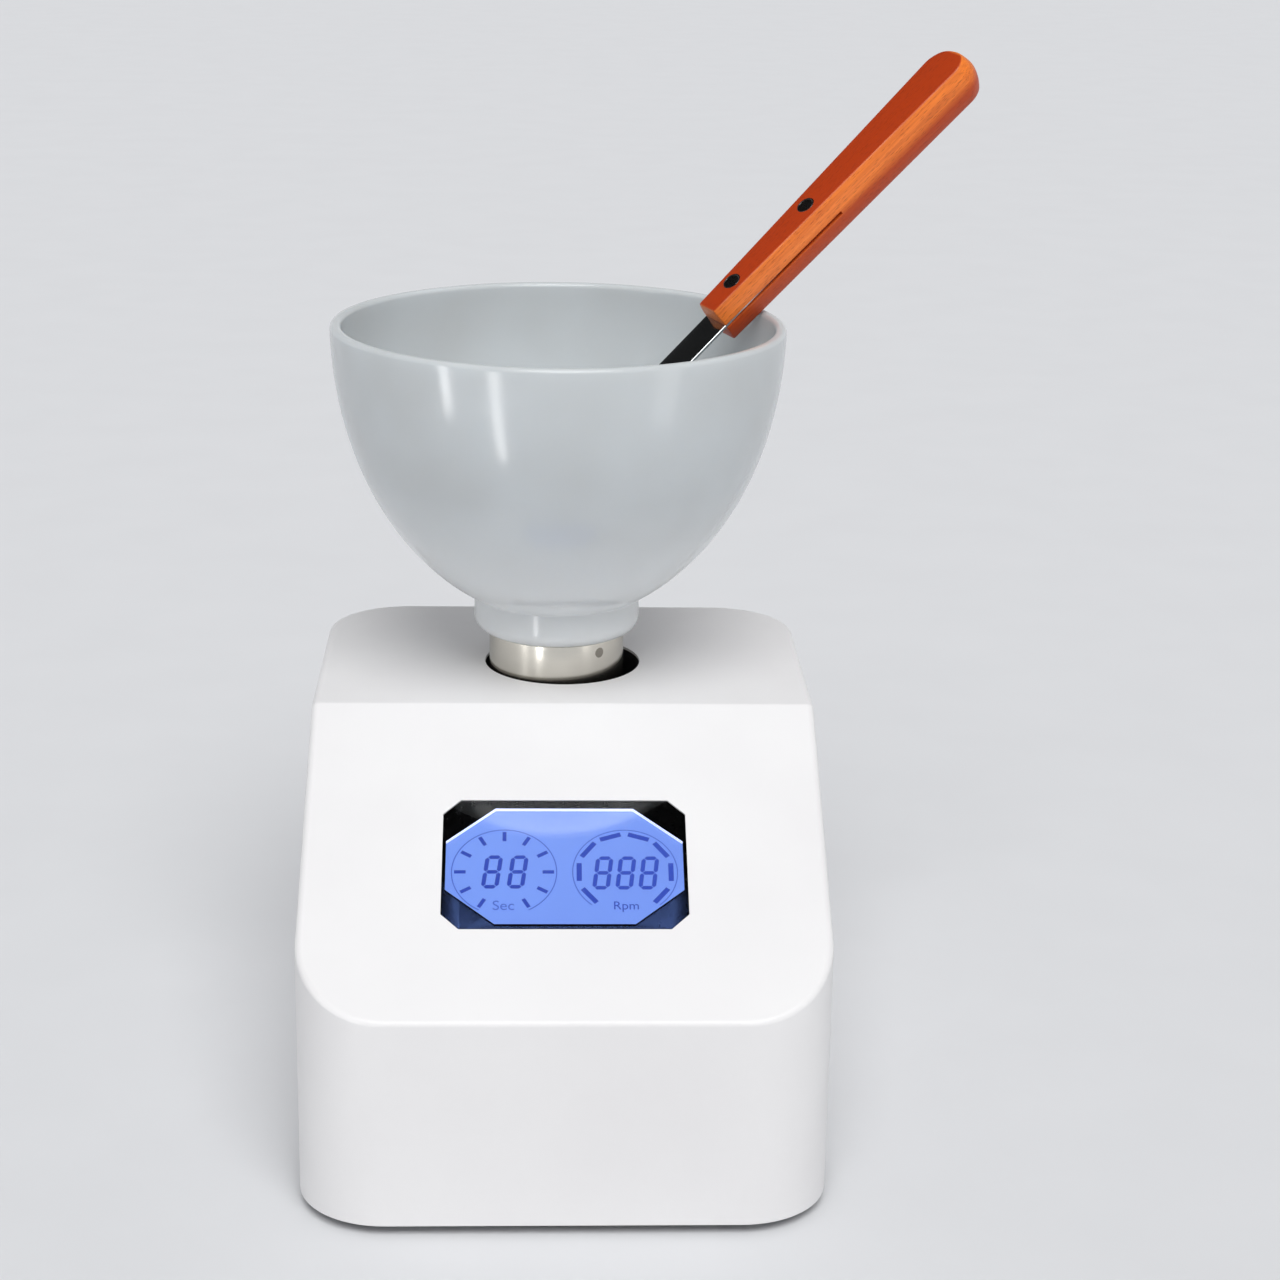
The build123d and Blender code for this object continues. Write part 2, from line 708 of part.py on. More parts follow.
def motor():
    """Direct-current motor that stands on the chassis plate with its shaft pointing down."""
    at = (motor_x, motor_y)
    can_top = chassis_top + motor_can_height
    cap_top = can_top + motor_cap_height
    can = rod(motor_radius, chassis_top, can_top, at)
    can = chamfer(can.edges().group_by(Axis.Z)[0], motor_screw_radius)
    can += rod(motor_pilot_radius, chassis_bottom, chassis_top, at)
    shaft_top = chassis_top + motor_can_height / 3
    can -= rod(motor_shaft_radius + running_gap, chassis_bottom, shaft_top + running_gap, at)
    screws = []
    for place in motor_screw_places:
        can -= rod(motor_screw_radius, chassis_top, chassis_top + motor_screw_grip, place)
        grip = motor_screw_grip + chassis_thickness
        screws.append(screw(motor_screw_radius, grip, place, chassis_bottom))
    cap = rod(motor_radius, can_top, cap_top, at)
    cap = fillet(cap.edges().group_by(Axis.Z)[-1], motor_cap_height / 3)
    tab = (terminal_width, terminal_thickness, terminal_length)
    tabs = [block(tab, (motor_x + s * motor_radius / 2, motor_y), cap_top) for s in (-1, 1)]
    shaft = rod(motor_shaft_radius, shaft_bottom, shaft_top, at)
    wheel, grub = pulley(motor_pulley_radius, motor_hub_radius, motor_shaft_radius, at, 0)
    return {
        "motor_can": can,
        "motor_end_cap": cap,
        "motor_terminals": tabs,
        "motor_screws": screws,
        "motor_shaft": shaft,
        "motor_pulley": wheel,
        "motor_pulley_screw": grub,
    }


# --------------------------------------------------------------------- spindle, holder
def holder():
    """Turned steel cup that the bowl's stub sits in, with its hub and driving pins."""
    neck_bottom = upper_bearing_z + bearing_width
    body = rod(holder_radius, holder_floor_bottom, holder_top)
    body = chamfer(body.edges().sort_by(Axis.Z)[-1], holder_chamfer)
    body += rod(holder_hub_radius, holder_hub_bottom, holder_floor_bottom)
    body += rod(holder_neck_radius, neck_bottom, holder_hub_bottom)
    body -= rod(holder_bore, holder_floor_top, holder_top)
    body -= rod(shaft_radius, neck_bottom, holder_floor_bottom)
    body -= rod(holder_screw_radius, holder_floor_bottom, holder_floor_top)
    sink = holder_screw_radius * 2
    cone_bottom = holder_floor_top - holder_screw_radius
    countersink = spun([(0, cone_bottom), (holder_screw_radius, cone_bottom), (sink, holder_floor_top), (0, holder_floor_top)])
    body -= countersink
    screw_bottom = holder_floor_top - holder_screw_length
    bolt = countersink + rod(holder_screw_radius, screw_bottom, cone_bottom)
    bolt -= slab(RegularPolygon(holder_screw_radius / 1.5, 6), cone_bottom, holder_floor_top)
    pins = []
    pin_z = holder_top - drive_pin_drop
    for i in range(drive_pin_count):
        turn = Rot(0, 0, drive_pin_angle + 360 * i / drive_pin_count) * Pos(0, 0, pin_z) * Rot(0, 90, 0)
        pin = turn * rod(drive_pin_radius, holder_radius - drive_pin_length, holder_radius + 1)
        pins.append(pin & rod(holder_radius, pin_z - holder_depth / 2, holder_top))
        body -= pin
    shaft = rod(shaft_radius, shaft_bottom, holder_floor_bottom)
    shaft -= rod(holder_screw_radius, screw_bottom, holder_floor_bottom)
    clip_top = lower_bearing_z
    groove = shaft_radius - circlip_width / 2
    clip = tube(groove + circlip_width, groove, clip_top - circlip_thickness, clip_top)
    clip -= block((shaft_radius, shaft_radius * 2, circlip_thickness), (0, shaft_radius), clip_top - circlip_thickness)
    shaft -= tube(shaft_radius, groove, clip_top - circlip_thickness, clip_top)
    spacer_top = upper_bearing_z
    spacer = tube(holder_neck_radius, shaft_radius, lower_bearing_z + bearing_width, spacer_top)
    return {
        "bowl_holder": body,
        "holder_screw": bolt,
        "drive_pins": pins,
        "spindle_shaft": shaft,
        "shaft_circlip": clip,
        "bearing_spacer": spacer,
    }


# -------------------------------------------------------------------------------- bowl
def bowl():
    """Flexible bowl: two quarter ellipses between the rim and the foot, and a keyed stub."""
    meet = acos(bowl_foot_radius / bowl_radius)
    foot_top = rim_z - bowl_curve_depth * sin(meet)
    stub_bottom = holder_top - stub_length
    at = (0, rim_z)
    inner = EllipticalCenterArc(at, bowl_inner_radius, bowl_inner_depth, -90, arc_size=90)
    outer = EllipticalCenterArc(
        at, bowl_radius, bowl_curve_depth, -degrees(meet), arc_size=degrees(meet)
    )
    foot_low = (bowl_foot_radius, holder_top + bowl_foot_round)
    foot_end = (bowl_foot_radius - bowl_foot_round, holder_top)
    side = [
        Line((bowl_inner_radius, rim_z), (bowl_radius, rim_z)),
        Line((bowl_foot_radius, foot_top), foot_low),
        RadiusArc(foot_low, foot_end, bowl_foot_round),
        Polyline(
            foot_end,
            (stub_radius, holder_top),
            (stub_radius, stub_bottom + stub_chamfer),
            (stub_radius - stub_chamfer, stub_bottom),
            (0, stub_bottom),
            (0, rim_z - bowl_inner_depth),
        ),
    ]
    section = make_face(Plane.XZ * (Curve() + [inner, outer, *side]))
    body = revolve(section, Axis.Z)
    lip = [e for e in body.edges() if e.geom_type == GeomType.CIRCLE and abs(e.center().Z - rim_z) < 0.01]
    body = fillet(lip, bowl_lip_radius)
    pin_z = holder_top - drive_pin_drop
    half = drive_pin_radius + keyway_gap
    depth = drive_pin_length - holder_wall + stub_gap + keyway_gap
    for i in range(drive_pin_count):
        turn = Rot(0, 0, drive_pin_angle + 360 * i / drive_pin_count)
        height = pin_z - stub_bottom
        middle = stub_radius - depth / 2 + 0.5
        key = block((depth + 1, 2 * half, height), (middle, 0), stub_bottom)
        key += Pos(middle, 0, pin_z) * Rot(0, 90, 0) * Cylinder(half, depth + 1)
        body -= turn * key
    return body


# ----------------------------------------------------------------------------- spatula
def spatula_plane():
    """Where the spatula lies: x runs up the handle from its lower end, z is square to the blade.

    The handle's underside rests on the lip of the bowl and the round end of the blade rests
    on the inside of the bowl, each with the same small gap.
    """
    azimuth, lean, roll = (radians(a) for a in (spatula_azimuth_angle, spatula_lean_angle, spatula_roll_angle))
    out = Vector(cos(azimuth), sin(azimuth), 0)
    side = Vector(-sin(azimuth), cos(azimuth), 0)
    along = out * cos(lean) + Vector(0, 0, sin(lean))
    square = Vector(0, 0, cos(lean)) - out * sin(lean)
    normal = square * cos(roll) + side * sin(roll)
    across = normal.cross(along)

    ring_radius = bowl_radius - bowl_wall + bowl_lip_radius
    ring_z = rim_z - bowl_lip_radius
    half_width = handle_near_width / 2
    touch = []
    for a in (spatula_offset - half_width, spatula_offset + half_width):
        point = out * sqrt(ring_radius**2 - a**2) + side * a + Vector(0, 0, ring_z)
        touch.append(normal.dot(point))
    level = max(touch) + bowl_lip_radius + rest_gap + handle_thickness / 2
    base = side * spatula_offset
    base += Vector(0, 0, (level - normal.dot(base)) / normal.Z)

    margin = rest_gap + blade_thickness
    wide, deep = bowl_inner_radius - margin, bowl_inner_depth - margin
    tip = blade_width / 2
    squash = Vector(1 / wide, 1 / wide, 1 / deep)
    down = along * -1
    reach = []
    for i in range(13):
        t = radians(-90 + 15 * i)
        start = base + down * (tip * cos(t)) + across * (tip * sin(t)) - Vector(0, 0, rim_z)
        p = Vector(start.X * squash.X, start.Y * squash.Y, start.Z * squash.Z)
        q = Vector(down.X * squash.X, down.Y * squash.Y, down.Z * squash.Z)
        b = p.dot(q)
        reach.append((sqrt(b * b - q.dot(q) * (p.dot(p) - 1)) - b) / q.dot(q))
    origin = base + down * (min(reach) + tip - blade_length)
    return Plane(origin=origin, x_dir=along, z_dir=normal)


def blade():
    """Flat blade that widens from its neck to a round end, and the tang in one piece with it."""
    neck = blade_neck_width / 2
    wide = blade_width / 2
    round_x = wide - blade_length
    upper = [
        Line((tang_length, neck), (-blade_neck_length, neck)),
        Bezier(
            (-blade_neck_length, neck),
            (-(blade_neck_length + blade_full_from) / 2, neck),
            (-(blade_neck_length + blade_full_from) / 2, wide),
            (-blade_full_from, wide),
        ),
        Line((-blade_full_from, wide), (round_x, wide)),
    ]
    lower = [mirror(edge, Plane.XZ) for edge in upper]
    tip = ThreePointArc((round_x, wide), (-blade_length, 0), (round_x, -wide))
    end = Line((tang_length, neck), (tang_length, -neck))
    outline = make_face(Curve() + [*upper, *lower, tip, end])
    return slab(outline, -blade_thickness / 2, blade_thickness / 2)


def handle():
    """Wooden handle: flat faces, crowned narrow sides, wider at its far end, which is round."""

    def section(width):
        half = handle_thickness / 2
        flat = width / 2 - handle_crown
        sides = [
            Line((-flat, half), (flat, half)),
            ThreePointArc((flat, half), (width / 2, 0), (flat, -half)),
            Line((flat, -half), (-flat, -half)),
            ThreePointArc((-flat, -half), (-width / 2, 0), (-flat, half)),
        ]
        return make_face(Curve() + sides)

    near = Plane(origin=(0, 0, 0), x_dir=(0, 1, 0), z_dir=(1, 0, 0))
    far = Plane(origin=(handle_length, 0, 0), x_dir=(0, 1, 0), z_dir=(1, 0, 0))
    body = loft([near * section(handle_near_width), far * section(handle_far_width)], ruled=True)
    long = 2 * handle_length
    plan = Pos(handle_length - long / 2, 0) * RectangleRounded(long, handle_far_width, handle_far_width / 2.02)
    body &= slab(plan, -handle_thickness, handle_thickness)
    profile = Pos(handle_length - long / 2, 0) * RectangleRounded(long, handle_thickness, handle_end_round)
    body &= Pos(0, handle_far_width, 0) * extrude(Plane.XZ * profile, 2 * handle_far_width, dir=(0, -1, 0))
    slot = Box(tang_length, 2 * handle_far_width, blade_thickness, align=(Align.MIN, Align.CENTER, Align.CENTER))
    body -= slot
    return body


def spatula():
    """Blade, handle and the two rivets through both."""
    place = spatula_plane()
    steel = blade()
    wood = handle()
    rivets = []
    for i in range(2):
        at = (rivet_first + i * rivet_pitch, 0)
        rivet = rod(rivet_radius, -handle_thickness / 2, handle_thickness / 2, at)
        steel -= rivet
        wood -= rivet
        rivets.append(place * rivet)
    return {"spatula_blade": place * steel, "spatula_handle": place * wood, "spatula_rivets": rivets}


# ------------------------------------------------------------------------- power inlet
def inlet_screw_places():
    """The inlet's two screws, in the rear face's own coordinates."""
    return [(-inlet_x + s * inlet_screw_spacing / 2, inlet_z) for s in (-1, 1)]


def inlet():
    """Three-pin mains inlet with a fuse drawer below the socket."""
    here = rear_plane * Pos(-inlet_x, inlet_z)
    proud = inlet_flange_thickness
    flange = slab(RectangleRounded(inlet_flange_width, inlet_flange_height, 4), 0, proud)
    body = flange + slab(Rectangle(inlet_body_width, inlet_body_height), -inlet_body_depth, 0)
    socket_floor = proud - socket_depth
    x, y = socket_width / 2, socket_height / 2
    mouth = Polyline((-x, -y), (x, -y), (x, y - socket_cut), (x - socket_cut, y), (socket_cut - x, y), (-x, y - socket_cut), close=True)
    body -= slab(Pos(0, socket_rise) * make_face(mouth), socket_floor, proud)
    drawer_floor = proud - drawer_depth - drawer_gap
    gap = 2 * drawer_gap
    body -= slab(Pos(0, -drawer_drop) * Rectangle(drawer_width + gap, drawer_height + gap), drawer_floor, proud)
    pin_places = [
        (-pin_spacing, socket_rise - pin_earth_rise),
        (pin_spacing, socket_rise - pin_earth_rise),
        (0, socket_rise + pin_earth_rise),
    ]
    back = -inlet_body_depth - terminal_length
    pins = []
    for at in pin_places:
        pin = slab(Pos(*at) * Rectangle(pin_thickness, pin_width), back, socket_floor + pin_length)
        body -= slab(Pos(*at) * Rectangle(pin_thickness, pin_width), -inlet_body_depth, socket_floor)
        pins.append(here * pin)
    screws = []
    grip = case_wall + 2 * pan_head_height
    nuts = []
    for s in (-1, 1):
        at = (s * inlet_screw_spacing / 2, 0)
        body -= rod(inlet_screw_radius, 0, proud, at)
        screws.append(here * screw(inlet_screw_radius, grip + proud, at, proud, up=False))
        nut = slab(Pos(*at) * RegularPolygon(2 * inlet_screw_radius, 6), -case_wall - pan_head_height, -case_wall)
        nuts.append(here * (nut - rod(inlet_screw_radius, -2 * grip, 0, at)))
    low = Pos(0, -drawer_drop)
    drawer = slab(low * Rectangle(drawer_width, drawer_height), proud - drawer_depth, proud)
    trough = (drawer_width - 2 * drawer_wall, drawer_height - drawer_wall, drawer_depth - 3 * drawer_wall)
    drawer -= block(trough, (0, drawer_wall / 2 - drawer_drop), proud - drawer_depth + drawer_wall)
    drawer += slab(low * Rectangle(drawer_width / 3, drawer_height / 2), proud, proud + drawer_pull)
    fuse_z = proud - drawer_depth + drawer_wall + trough[2] / 2
    fuse_y = -drawer_drop - drawer_height / 2 + drawer_wall + fuse_radius
    lie = Pos(0, fuse_y, fuse_z) * Rot(0, 90, 0)
    inner = fuse_radius - fuse_cap_wall
    glass = lie * Cylinder(inner, fuse_length - 2 * fuse_cap_wall)
    caps = []
    for s in (-1, 1):
        end = s * (fuse_length / 2 - fuse_cap_length / 2)
        caps.append(here * (lie * Pos(0, 0, end) * Cylinder(fuse_radius, fuse_cap_length) - glass))
    return {
        "mains_inlet": here * body,
        "inlet_pins": pins,
        "inlet_screws": screws,
        "inlet_nuts": nuts,
        "fuse_drawer": here * drawer,
        "fuse_glass": here * glass,
        "fuse_caps": caps,
    }


# ------------------------------------------------------------------------ power switch
def power_switch():
    """Rocker switch above the inlet: body, rocker on two short pins, and terminals."""
    here = rear_plane * Pos(-switch_x, switch_z)
    proud = switch_bezel_proud
    body = slab(RectangleRounded(switch_bezel_width, switch_bezel_height, 1.5), 0, proud)
    body += slab(Rectangle(switch_body_width, switch_body_height), -switch_body_depth, 0)
    tilt = tan(radians(rocker_angle))
    end_z = rocker_valley + rocker_half_height * tilt
    pivot_z = -rocker_pivot_depth
    corner = hypot(rocker_half_height, end_z - pivot_z)
    corner_angle = atan2(rocker_half_height, end_z - pivot_z)
    sweep_half = corner * sin(corner_angle + radians(rocker_angle)) + rocker_gap
    well_bottom = pivot_z - hypot(rocker_back, rocker_back_half) - rocker_gap
    well = Rectangle(rocker_width + 2 * rocker_gap, 2 * sweep_half)
    body -= slab(well, well_bottom, proud)
    pin_reach = rocker_width / 2 + rocker_pin_length
    pivot = Pos(0, 0, pivot_z) * Rot(0, 90, 0)
    body -= pivot * Cylinder(rocker_pin_radius + running_gap, 2 * (pin_reach + running_gap))
    outline = Polyline(
        (end_z, rocker_half_height),
        (rocker_valley, 0),
        (end_z, -rocker_half_height),
        (pivot_z - rocker_back, -rocker_back_half),
        (pivot_z - rocker_back, rocker_back_half),
        close=True,
    )
    side = Plane(origin=(-rocker_width / 2, 0, 0), x_dir=(0, 0, 1), z_dir=(1, 0, 0))
    flip = make_face(Polyline(*[(z, -y) for z, y in [tuple(v)[:2] for v in outline.vertices()]], close=True))
    rocker = side * extrude(flip, rocker_width, dir=(0, 0, 1))
    rocker += pivot * Cylinder(rocker_pin_radius, 2 * pin_reach)
    about = Pos(0, 0, pivot_z)
    rocker = about * Rot(-rocker_angle, 0, 0) * (about.inverse() * rocker)
    tabs = []
    for s in (-1, 1):
        tab = (terminal_width, terminal_thickness, terminal_length)
        tabs.append(here * block(tab, (0, s * switch_body_height / 4), -switch_body_depth - terminal_length))
    return {
        "power_switch_body": here * body,
        "power_switch_rocker": here * rocker,
        "power_switch_terminals": tabs,
    }


# ------------------------------------------------------------------------- power board
def power_board():
    """Power supply and motor driver on four posts, low in the front of the case."""
    bottom = plate_top + power_board_rise
    top = bottom + board_thickness
    centre = (mid_offset, power_board_y)

    def place(offset):
        return (centre[0] + offset[0], centre[1] + offset[1])

    board = block((power_board_width, power_board_depth, board_thickness), centre, bottom)
    posts = []
    screws = []
    for at in power_post_places:
        post = slab(Pos(*at) * RegularPolygon(power_post_radius, 6), plate_top, bottom)
        post += rod(power_screw_radius, plate_bottom, plate_top, at)
        grip = power_board_rise - power_screw_radius
        post -= rod(power_screw_radius, bottom - grip, bottom, at)
        posts.append(post)
        board -= rod(power_screw_radius, bottom, top, at)
        screws.append(screw(power_screw_radius, grip + board_thickness, at, top, up=False))
    coil = block(transformer_size, place(transformer_at), top)
    core = block(transformer_core, place(transformer_at), top + (transformer_size[2] - transformer_core[2]) / 2)
    capacitors = [
        rod(r, top, top + h, place(p))
        for r, h, p in zip(capacitor_radii, capacitor_heights, capacitor_places)
    ]
    sink = block((sink_width, sink_base, sink_height), place(sink_at), top)
    fin = (sink_fin_thickness, sink_fin_depth, sink_height)
    fin_pitch = (sink_width - sink_fin_thickness) / (sink_fin_count - 1)
    fin_y = sink_at[1] - sink_base / 2 - sink_fin_depth / 2
    for i in range(sink_fin_count):
        x = sink_at[0] - sink_width / 2 + sink_fin_thickness / 2 + i * fin_pitch
        sink += block(fin, place((x, fin_y)), top)
    behind = sink_at[1] + sink_base / 2 + transistor_size[1] / 2
    transistors = [
        block(transistor_size, place((sink_at[0] + s * transistor_pitch / 2, behind)), top + terminal_thickness)
        for s in (-1, 1)
    ]
    choke = tube(choke_radius, choke_bore, top, top + choke_height, place(choke_at))
    return {
        "power_board": board,
        "power_board_posts": posts,
        "power_board_screws": screws,
        "transformer_coil": coil - core,
        "transformer_core": core,
        "power_capacitors": capacitors,
        "heat_sink": sink,
        "power_transistors": transistors,
        "mains_choke": choke,
    }


# ------------------------------------------------------------------------------- nodes
def case_screws():
    """The screws that hold the base plate to the case."""
    return [screw(case_screw_radius, case_screw_length, at, plate_bottom) for at in boss_places]


def all_nodes():
    """Every named piece of the mixer."""
    wheel, grub = spindle_pulley()
    return {
        "case_shell": case_shell(),
        "splash_collar": splash_collar(),
        "base_plate": base_plate(),
        "base_screws": case_screws(),
        "rubber_feet": [rubber_foot(at) for at in foot_places],
        **display(),
        **chassis(),
        **bearings(),
        "spindle_pulley": wheel,
        "spindle_pulley_screw": grub,
        "drive_belt": drive_belt(),
        **motor(),
        **holder(),
        "mixing_bowl": bowl(),
        **spatula(),
        **inlet(),
        **power_switch(),
        **power_board(),
    }


if __name__ == "__main__":
    os.makedirs("parts", exist_ok=True)
    for name, shape in all_nodes().items():
        solid = Compound(children=list(shape)) if isinstance(shape, list) else shape
        export_step(solid, f"parts/{name}.step")
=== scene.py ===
"""Looks of a bench mixer for dental impression material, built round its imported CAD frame."""

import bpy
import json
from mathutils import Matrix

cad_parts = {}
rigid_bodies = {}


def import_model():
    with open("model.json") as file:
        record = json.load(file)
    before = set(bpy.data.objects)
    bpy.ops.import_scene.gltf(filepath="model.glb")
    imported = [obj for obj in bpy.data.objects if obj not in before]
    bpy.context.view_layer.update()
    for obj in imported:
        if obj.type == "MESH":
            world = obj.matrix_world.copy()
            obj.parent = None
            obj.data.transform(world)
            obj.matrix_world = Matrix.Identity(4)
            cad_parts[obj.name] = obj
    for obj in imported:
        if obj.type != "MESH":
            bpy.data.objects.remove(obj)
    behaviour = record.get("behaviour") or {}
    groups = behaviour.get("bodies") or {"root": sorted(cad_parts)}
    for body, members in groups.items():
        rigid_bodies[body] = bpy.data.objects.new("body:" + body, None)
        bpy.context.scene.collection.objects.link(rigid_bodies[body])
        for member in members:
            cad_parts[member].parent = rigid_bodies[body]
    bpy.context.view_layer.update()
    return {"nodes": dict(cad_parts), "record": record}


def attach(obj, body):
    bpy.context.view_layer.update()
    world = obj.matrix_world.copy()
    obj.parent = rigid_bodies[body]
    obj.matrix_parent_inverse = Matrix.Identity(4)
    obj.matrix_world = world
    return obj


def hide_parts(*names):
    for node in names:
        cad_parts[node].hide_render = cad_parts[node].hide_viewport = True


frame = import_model()

import json
import logging
import math
from dataclasses import dataclass, field
from enum import Enum
from typing import Any, Sequence

import bmesh
import bpy
from mathutils import Matrix, Vector
from mathutils.bvhtree import BVHTree

LOG = logging.getLogger("mixer")
MM = 0.001
Point = tuple[float, float]
Point3 = tuple[float, float, float]


# --------------------------------------------------------------------------- small helpers
def linear(code: str) -> tuple[float, float, float, float]:
    """Turn an sRGB hex colour into the linear values that Blender works in.

    Args:
        code: Six hex digits, with or without a leading #.

    Returns:
        Red, green, blue and an alpha of one.
    """
    digits = code.lstrip("#")
    parts = [int(digits[i:i + 2], 16) / 255 for i in (0, 2, 4)]
    red, green, blue = (p / 12.92 if p <= 0.04045 else ((p + 0.055) / 1.055) ** 2.4 for p in parts)
    return (red, green, blue, 1.0)


def add_node(tree: bpy.types.NodeTree, kind: str, inputs: dict[Any, Any] | None = None,
             **settings: Any) -> bpy.types.Node:
    """Add one node to a tree, with its settings, values and links.

    Args:
        tree: The shader or geometry tree that gets the node.
        kind: The node's Blender type.
        inputs: A value, or another node's output socket, for each input by name or number.
        **settings: The node's own properties.

    Returns:
        The new node.
    """
    node = tree.nodes.new(kind)
    for key, value in settings.items():
        setattr(node, key, value)
    for key, value in (inputs or {}).items():
        if isinstance(value, bpy.types.NodeSocket):
            tree.links.new(value, node.inputs[key])
        else:
            node.inputs[key].default_value = value
    return node


def new_object(name: str, mesh: bpy.types.Mesh) -> bpy.types.Object:
    """Put a mesh into the scene as an object at the origin."""
    piece = bpy.data.objects.new(name, mesh)
    bpy.context.scene.collection.objects.link(piece)
    return piece


def mesh_of(name: str, points: Sequence[Sequence[float]], faces: Sequence[Sequence[int]] = (),
            edges: Sequence[Point] = (), scale: float = MM) -> bpy.types.Mesh:
    """Make a mesh from points in millimetres.

    Args:
        name: The mesh's name.
        points: Its corners.
        faces: The corner numbers of each face.
        edges: Loose edges, for a mesh that only carries points.
        scale: Metres for one unit of the points.

    Returns:
        The mesh, in metres.
    """
    mesh = bpy.data.meshes.new(name)
    mesh.from_pydata([tuple(c * scale for c in p) for p in points], edges, faces)
    mesh.update()
    return mesh


def outward(mesh: bpy.types.Mesh) -> bpy.types.Mesh:
    """Merge doubled corners and turn a closed mesh's faces outwards.

    Args:
        mesh: The mesh, which is changed.

    Returns:
        The same mesh.
    """
    work = bmesh.new()
    work.from_mesh(mesh)
    bmesh.ops.remove_doubles(work, verts=work.verts, dist=1e-7)
    bmesh.ops.recalc_face_normals(work, faces=work.faces)
    work.to_mesh(mesh)
    work.free()
    return mesh


def settle(source: bpy.types.Object, name: str, material: bpy.types.Material | None = None,
           smooth_angle: float | None = 35.0) -> bpy.types.Object:
    """Turn an object and its modifiers into a plain mesh object, and remove the source.

    Args:
        source: The object whose modifiers are applied.
        name: The new piece's name.
        material: The finish it gets, unless its tree has set one.
        smooth_angle: Edges sharper than this, in degrees, stay sharp; None leaves the shading.

    Returns:
        The finished piece.
    """
    bpy.context.view_layer.update()
    ready = source.evaluated_get(bpy.context.evaluated_depsgraph_get())
    mesh = bpy.data.meshes.new_from_object(ready)
    mesh.name = name
    bpy.data.objects.remove(source)
    if material is not None:
        mesh.materials.clear()
        mesh.materials.append(material)
    if smooth_angle is not None:
        mesh.shade_smooth()
        mesh.set_sharp_from_angle(angle=math.radians(smooth_angle))
    return new_object(name, mesh)


def prism(outline: Sequence[Point], low: float, high: float,
          hole: Sequence[Point] = ()) -> tuple[list[Point3], list[list[int]]]:
    """Corners and faces of a flat shape with a thickness, and maybe a hole.

    Args:
        outline: The shape's corners, in order.
        low: Height of its underside.
        high: Height of its top.
        hole: As many corners as the outline has, for a hole inside it.

    Returns:
        The corners and the faces.
    """
    count = len(outline)
    rings = [outline, hole] if hole else [outline]
    points = [(x, y, z) for ring in rings for z in (low, high) for x, y in ring]
    faces = []
    for r in range(len(rings)):
        base = 2 * r * count
        for i in range(count):
            j = (i + 1) % count
            faces.append([base + i, base + j, base + count + j, base + count + i])
    if hole:
        for level in (0, count):
            for i in range(count):
                j = (i + 1) % count
                faces.append([level + i, level + j, level + 2 * count + j, level + 2 * count + i])
    else:
        faces += [list(range(count)), list(range(count, 2 * count))]
    return points, faces


def merge(parts: Sequence[tuple[list[Point3], list[list[int]]]]) -> tuple[list[Point3], list[list[int]]]:
    """Join several sets of corners and faces into one."""
    points: list[Point3] = []
    faces: list[list[int]] = []
    for more, shapes in parts:
        faces += [[i + len(points) for i in face] for face in shapes]
        points += more
    return points, faces


def octagon(width: float, height: float, cut_x: float, cut_y: float) -> list[Point]:
    """The corners of a rectangle whose own corners are cut off."""
    x, y = width / 2, height / 2
    half = [(x, y - cut_y), (x - cut_x, y), (cut_x - x, y), (-x, y - cut_y)]
    return half + [(-a, -b) for a, b in half]


# --------------------------------------------------------------------------------- finishes
class Lay(Enum):
    """Which way the fine lines of a metal surface run."""

    TURNED = "round the spindle's axis"
    DRAWN = "along one axis"
    EVEN = "no direction, as plated or cast"


@dataclass(frozen=True)
class Finish:
    """What every finish has: the material's name, its colour and how rough it is."""

    name: str
    colour: str
    roughness: float

    def material(self) -> bpy.types.Material:
        """Build the material once, and hand out the same one afterwards."""
        found = bpy.data.materials.get(self.name)
        if found is not None:
            return found
        material = bpy.data.materials.new(self.name)
        material.use_nodes = True
        tree = material.node_tree
        shader = tree.nodes["Principled BSDF"]
        shader.inputs["Base Color"].default_value = linear(self.colour)
        shader.inputs["Roughness"].default_value = self.roughness
        self.dress(tree, shader, add_node(tree, "ShaderNodeTexCoord").outputs["Object"])
        return material

    def dress(self, tree: bpy.types.NodeTree, shader: bpy.types.Node,
              place: bpy.types.NodeSocket) -> None:
        """Add what one kind of finish shows.

        Args:
            tree: The material's node tree.
            shader: Its Principled shader.
            place: Object coordinates, in metres.
        """

    def put_on(self, piece: bpy.types.Object) -> None:
        """Dress a piece, or a carried-over CAD node, in this finish alone."""
        piece.data.materials.clear()
        piece.data.materials.append(self.material())
        for face in piece.data.polygons:
            face.material_index = 0


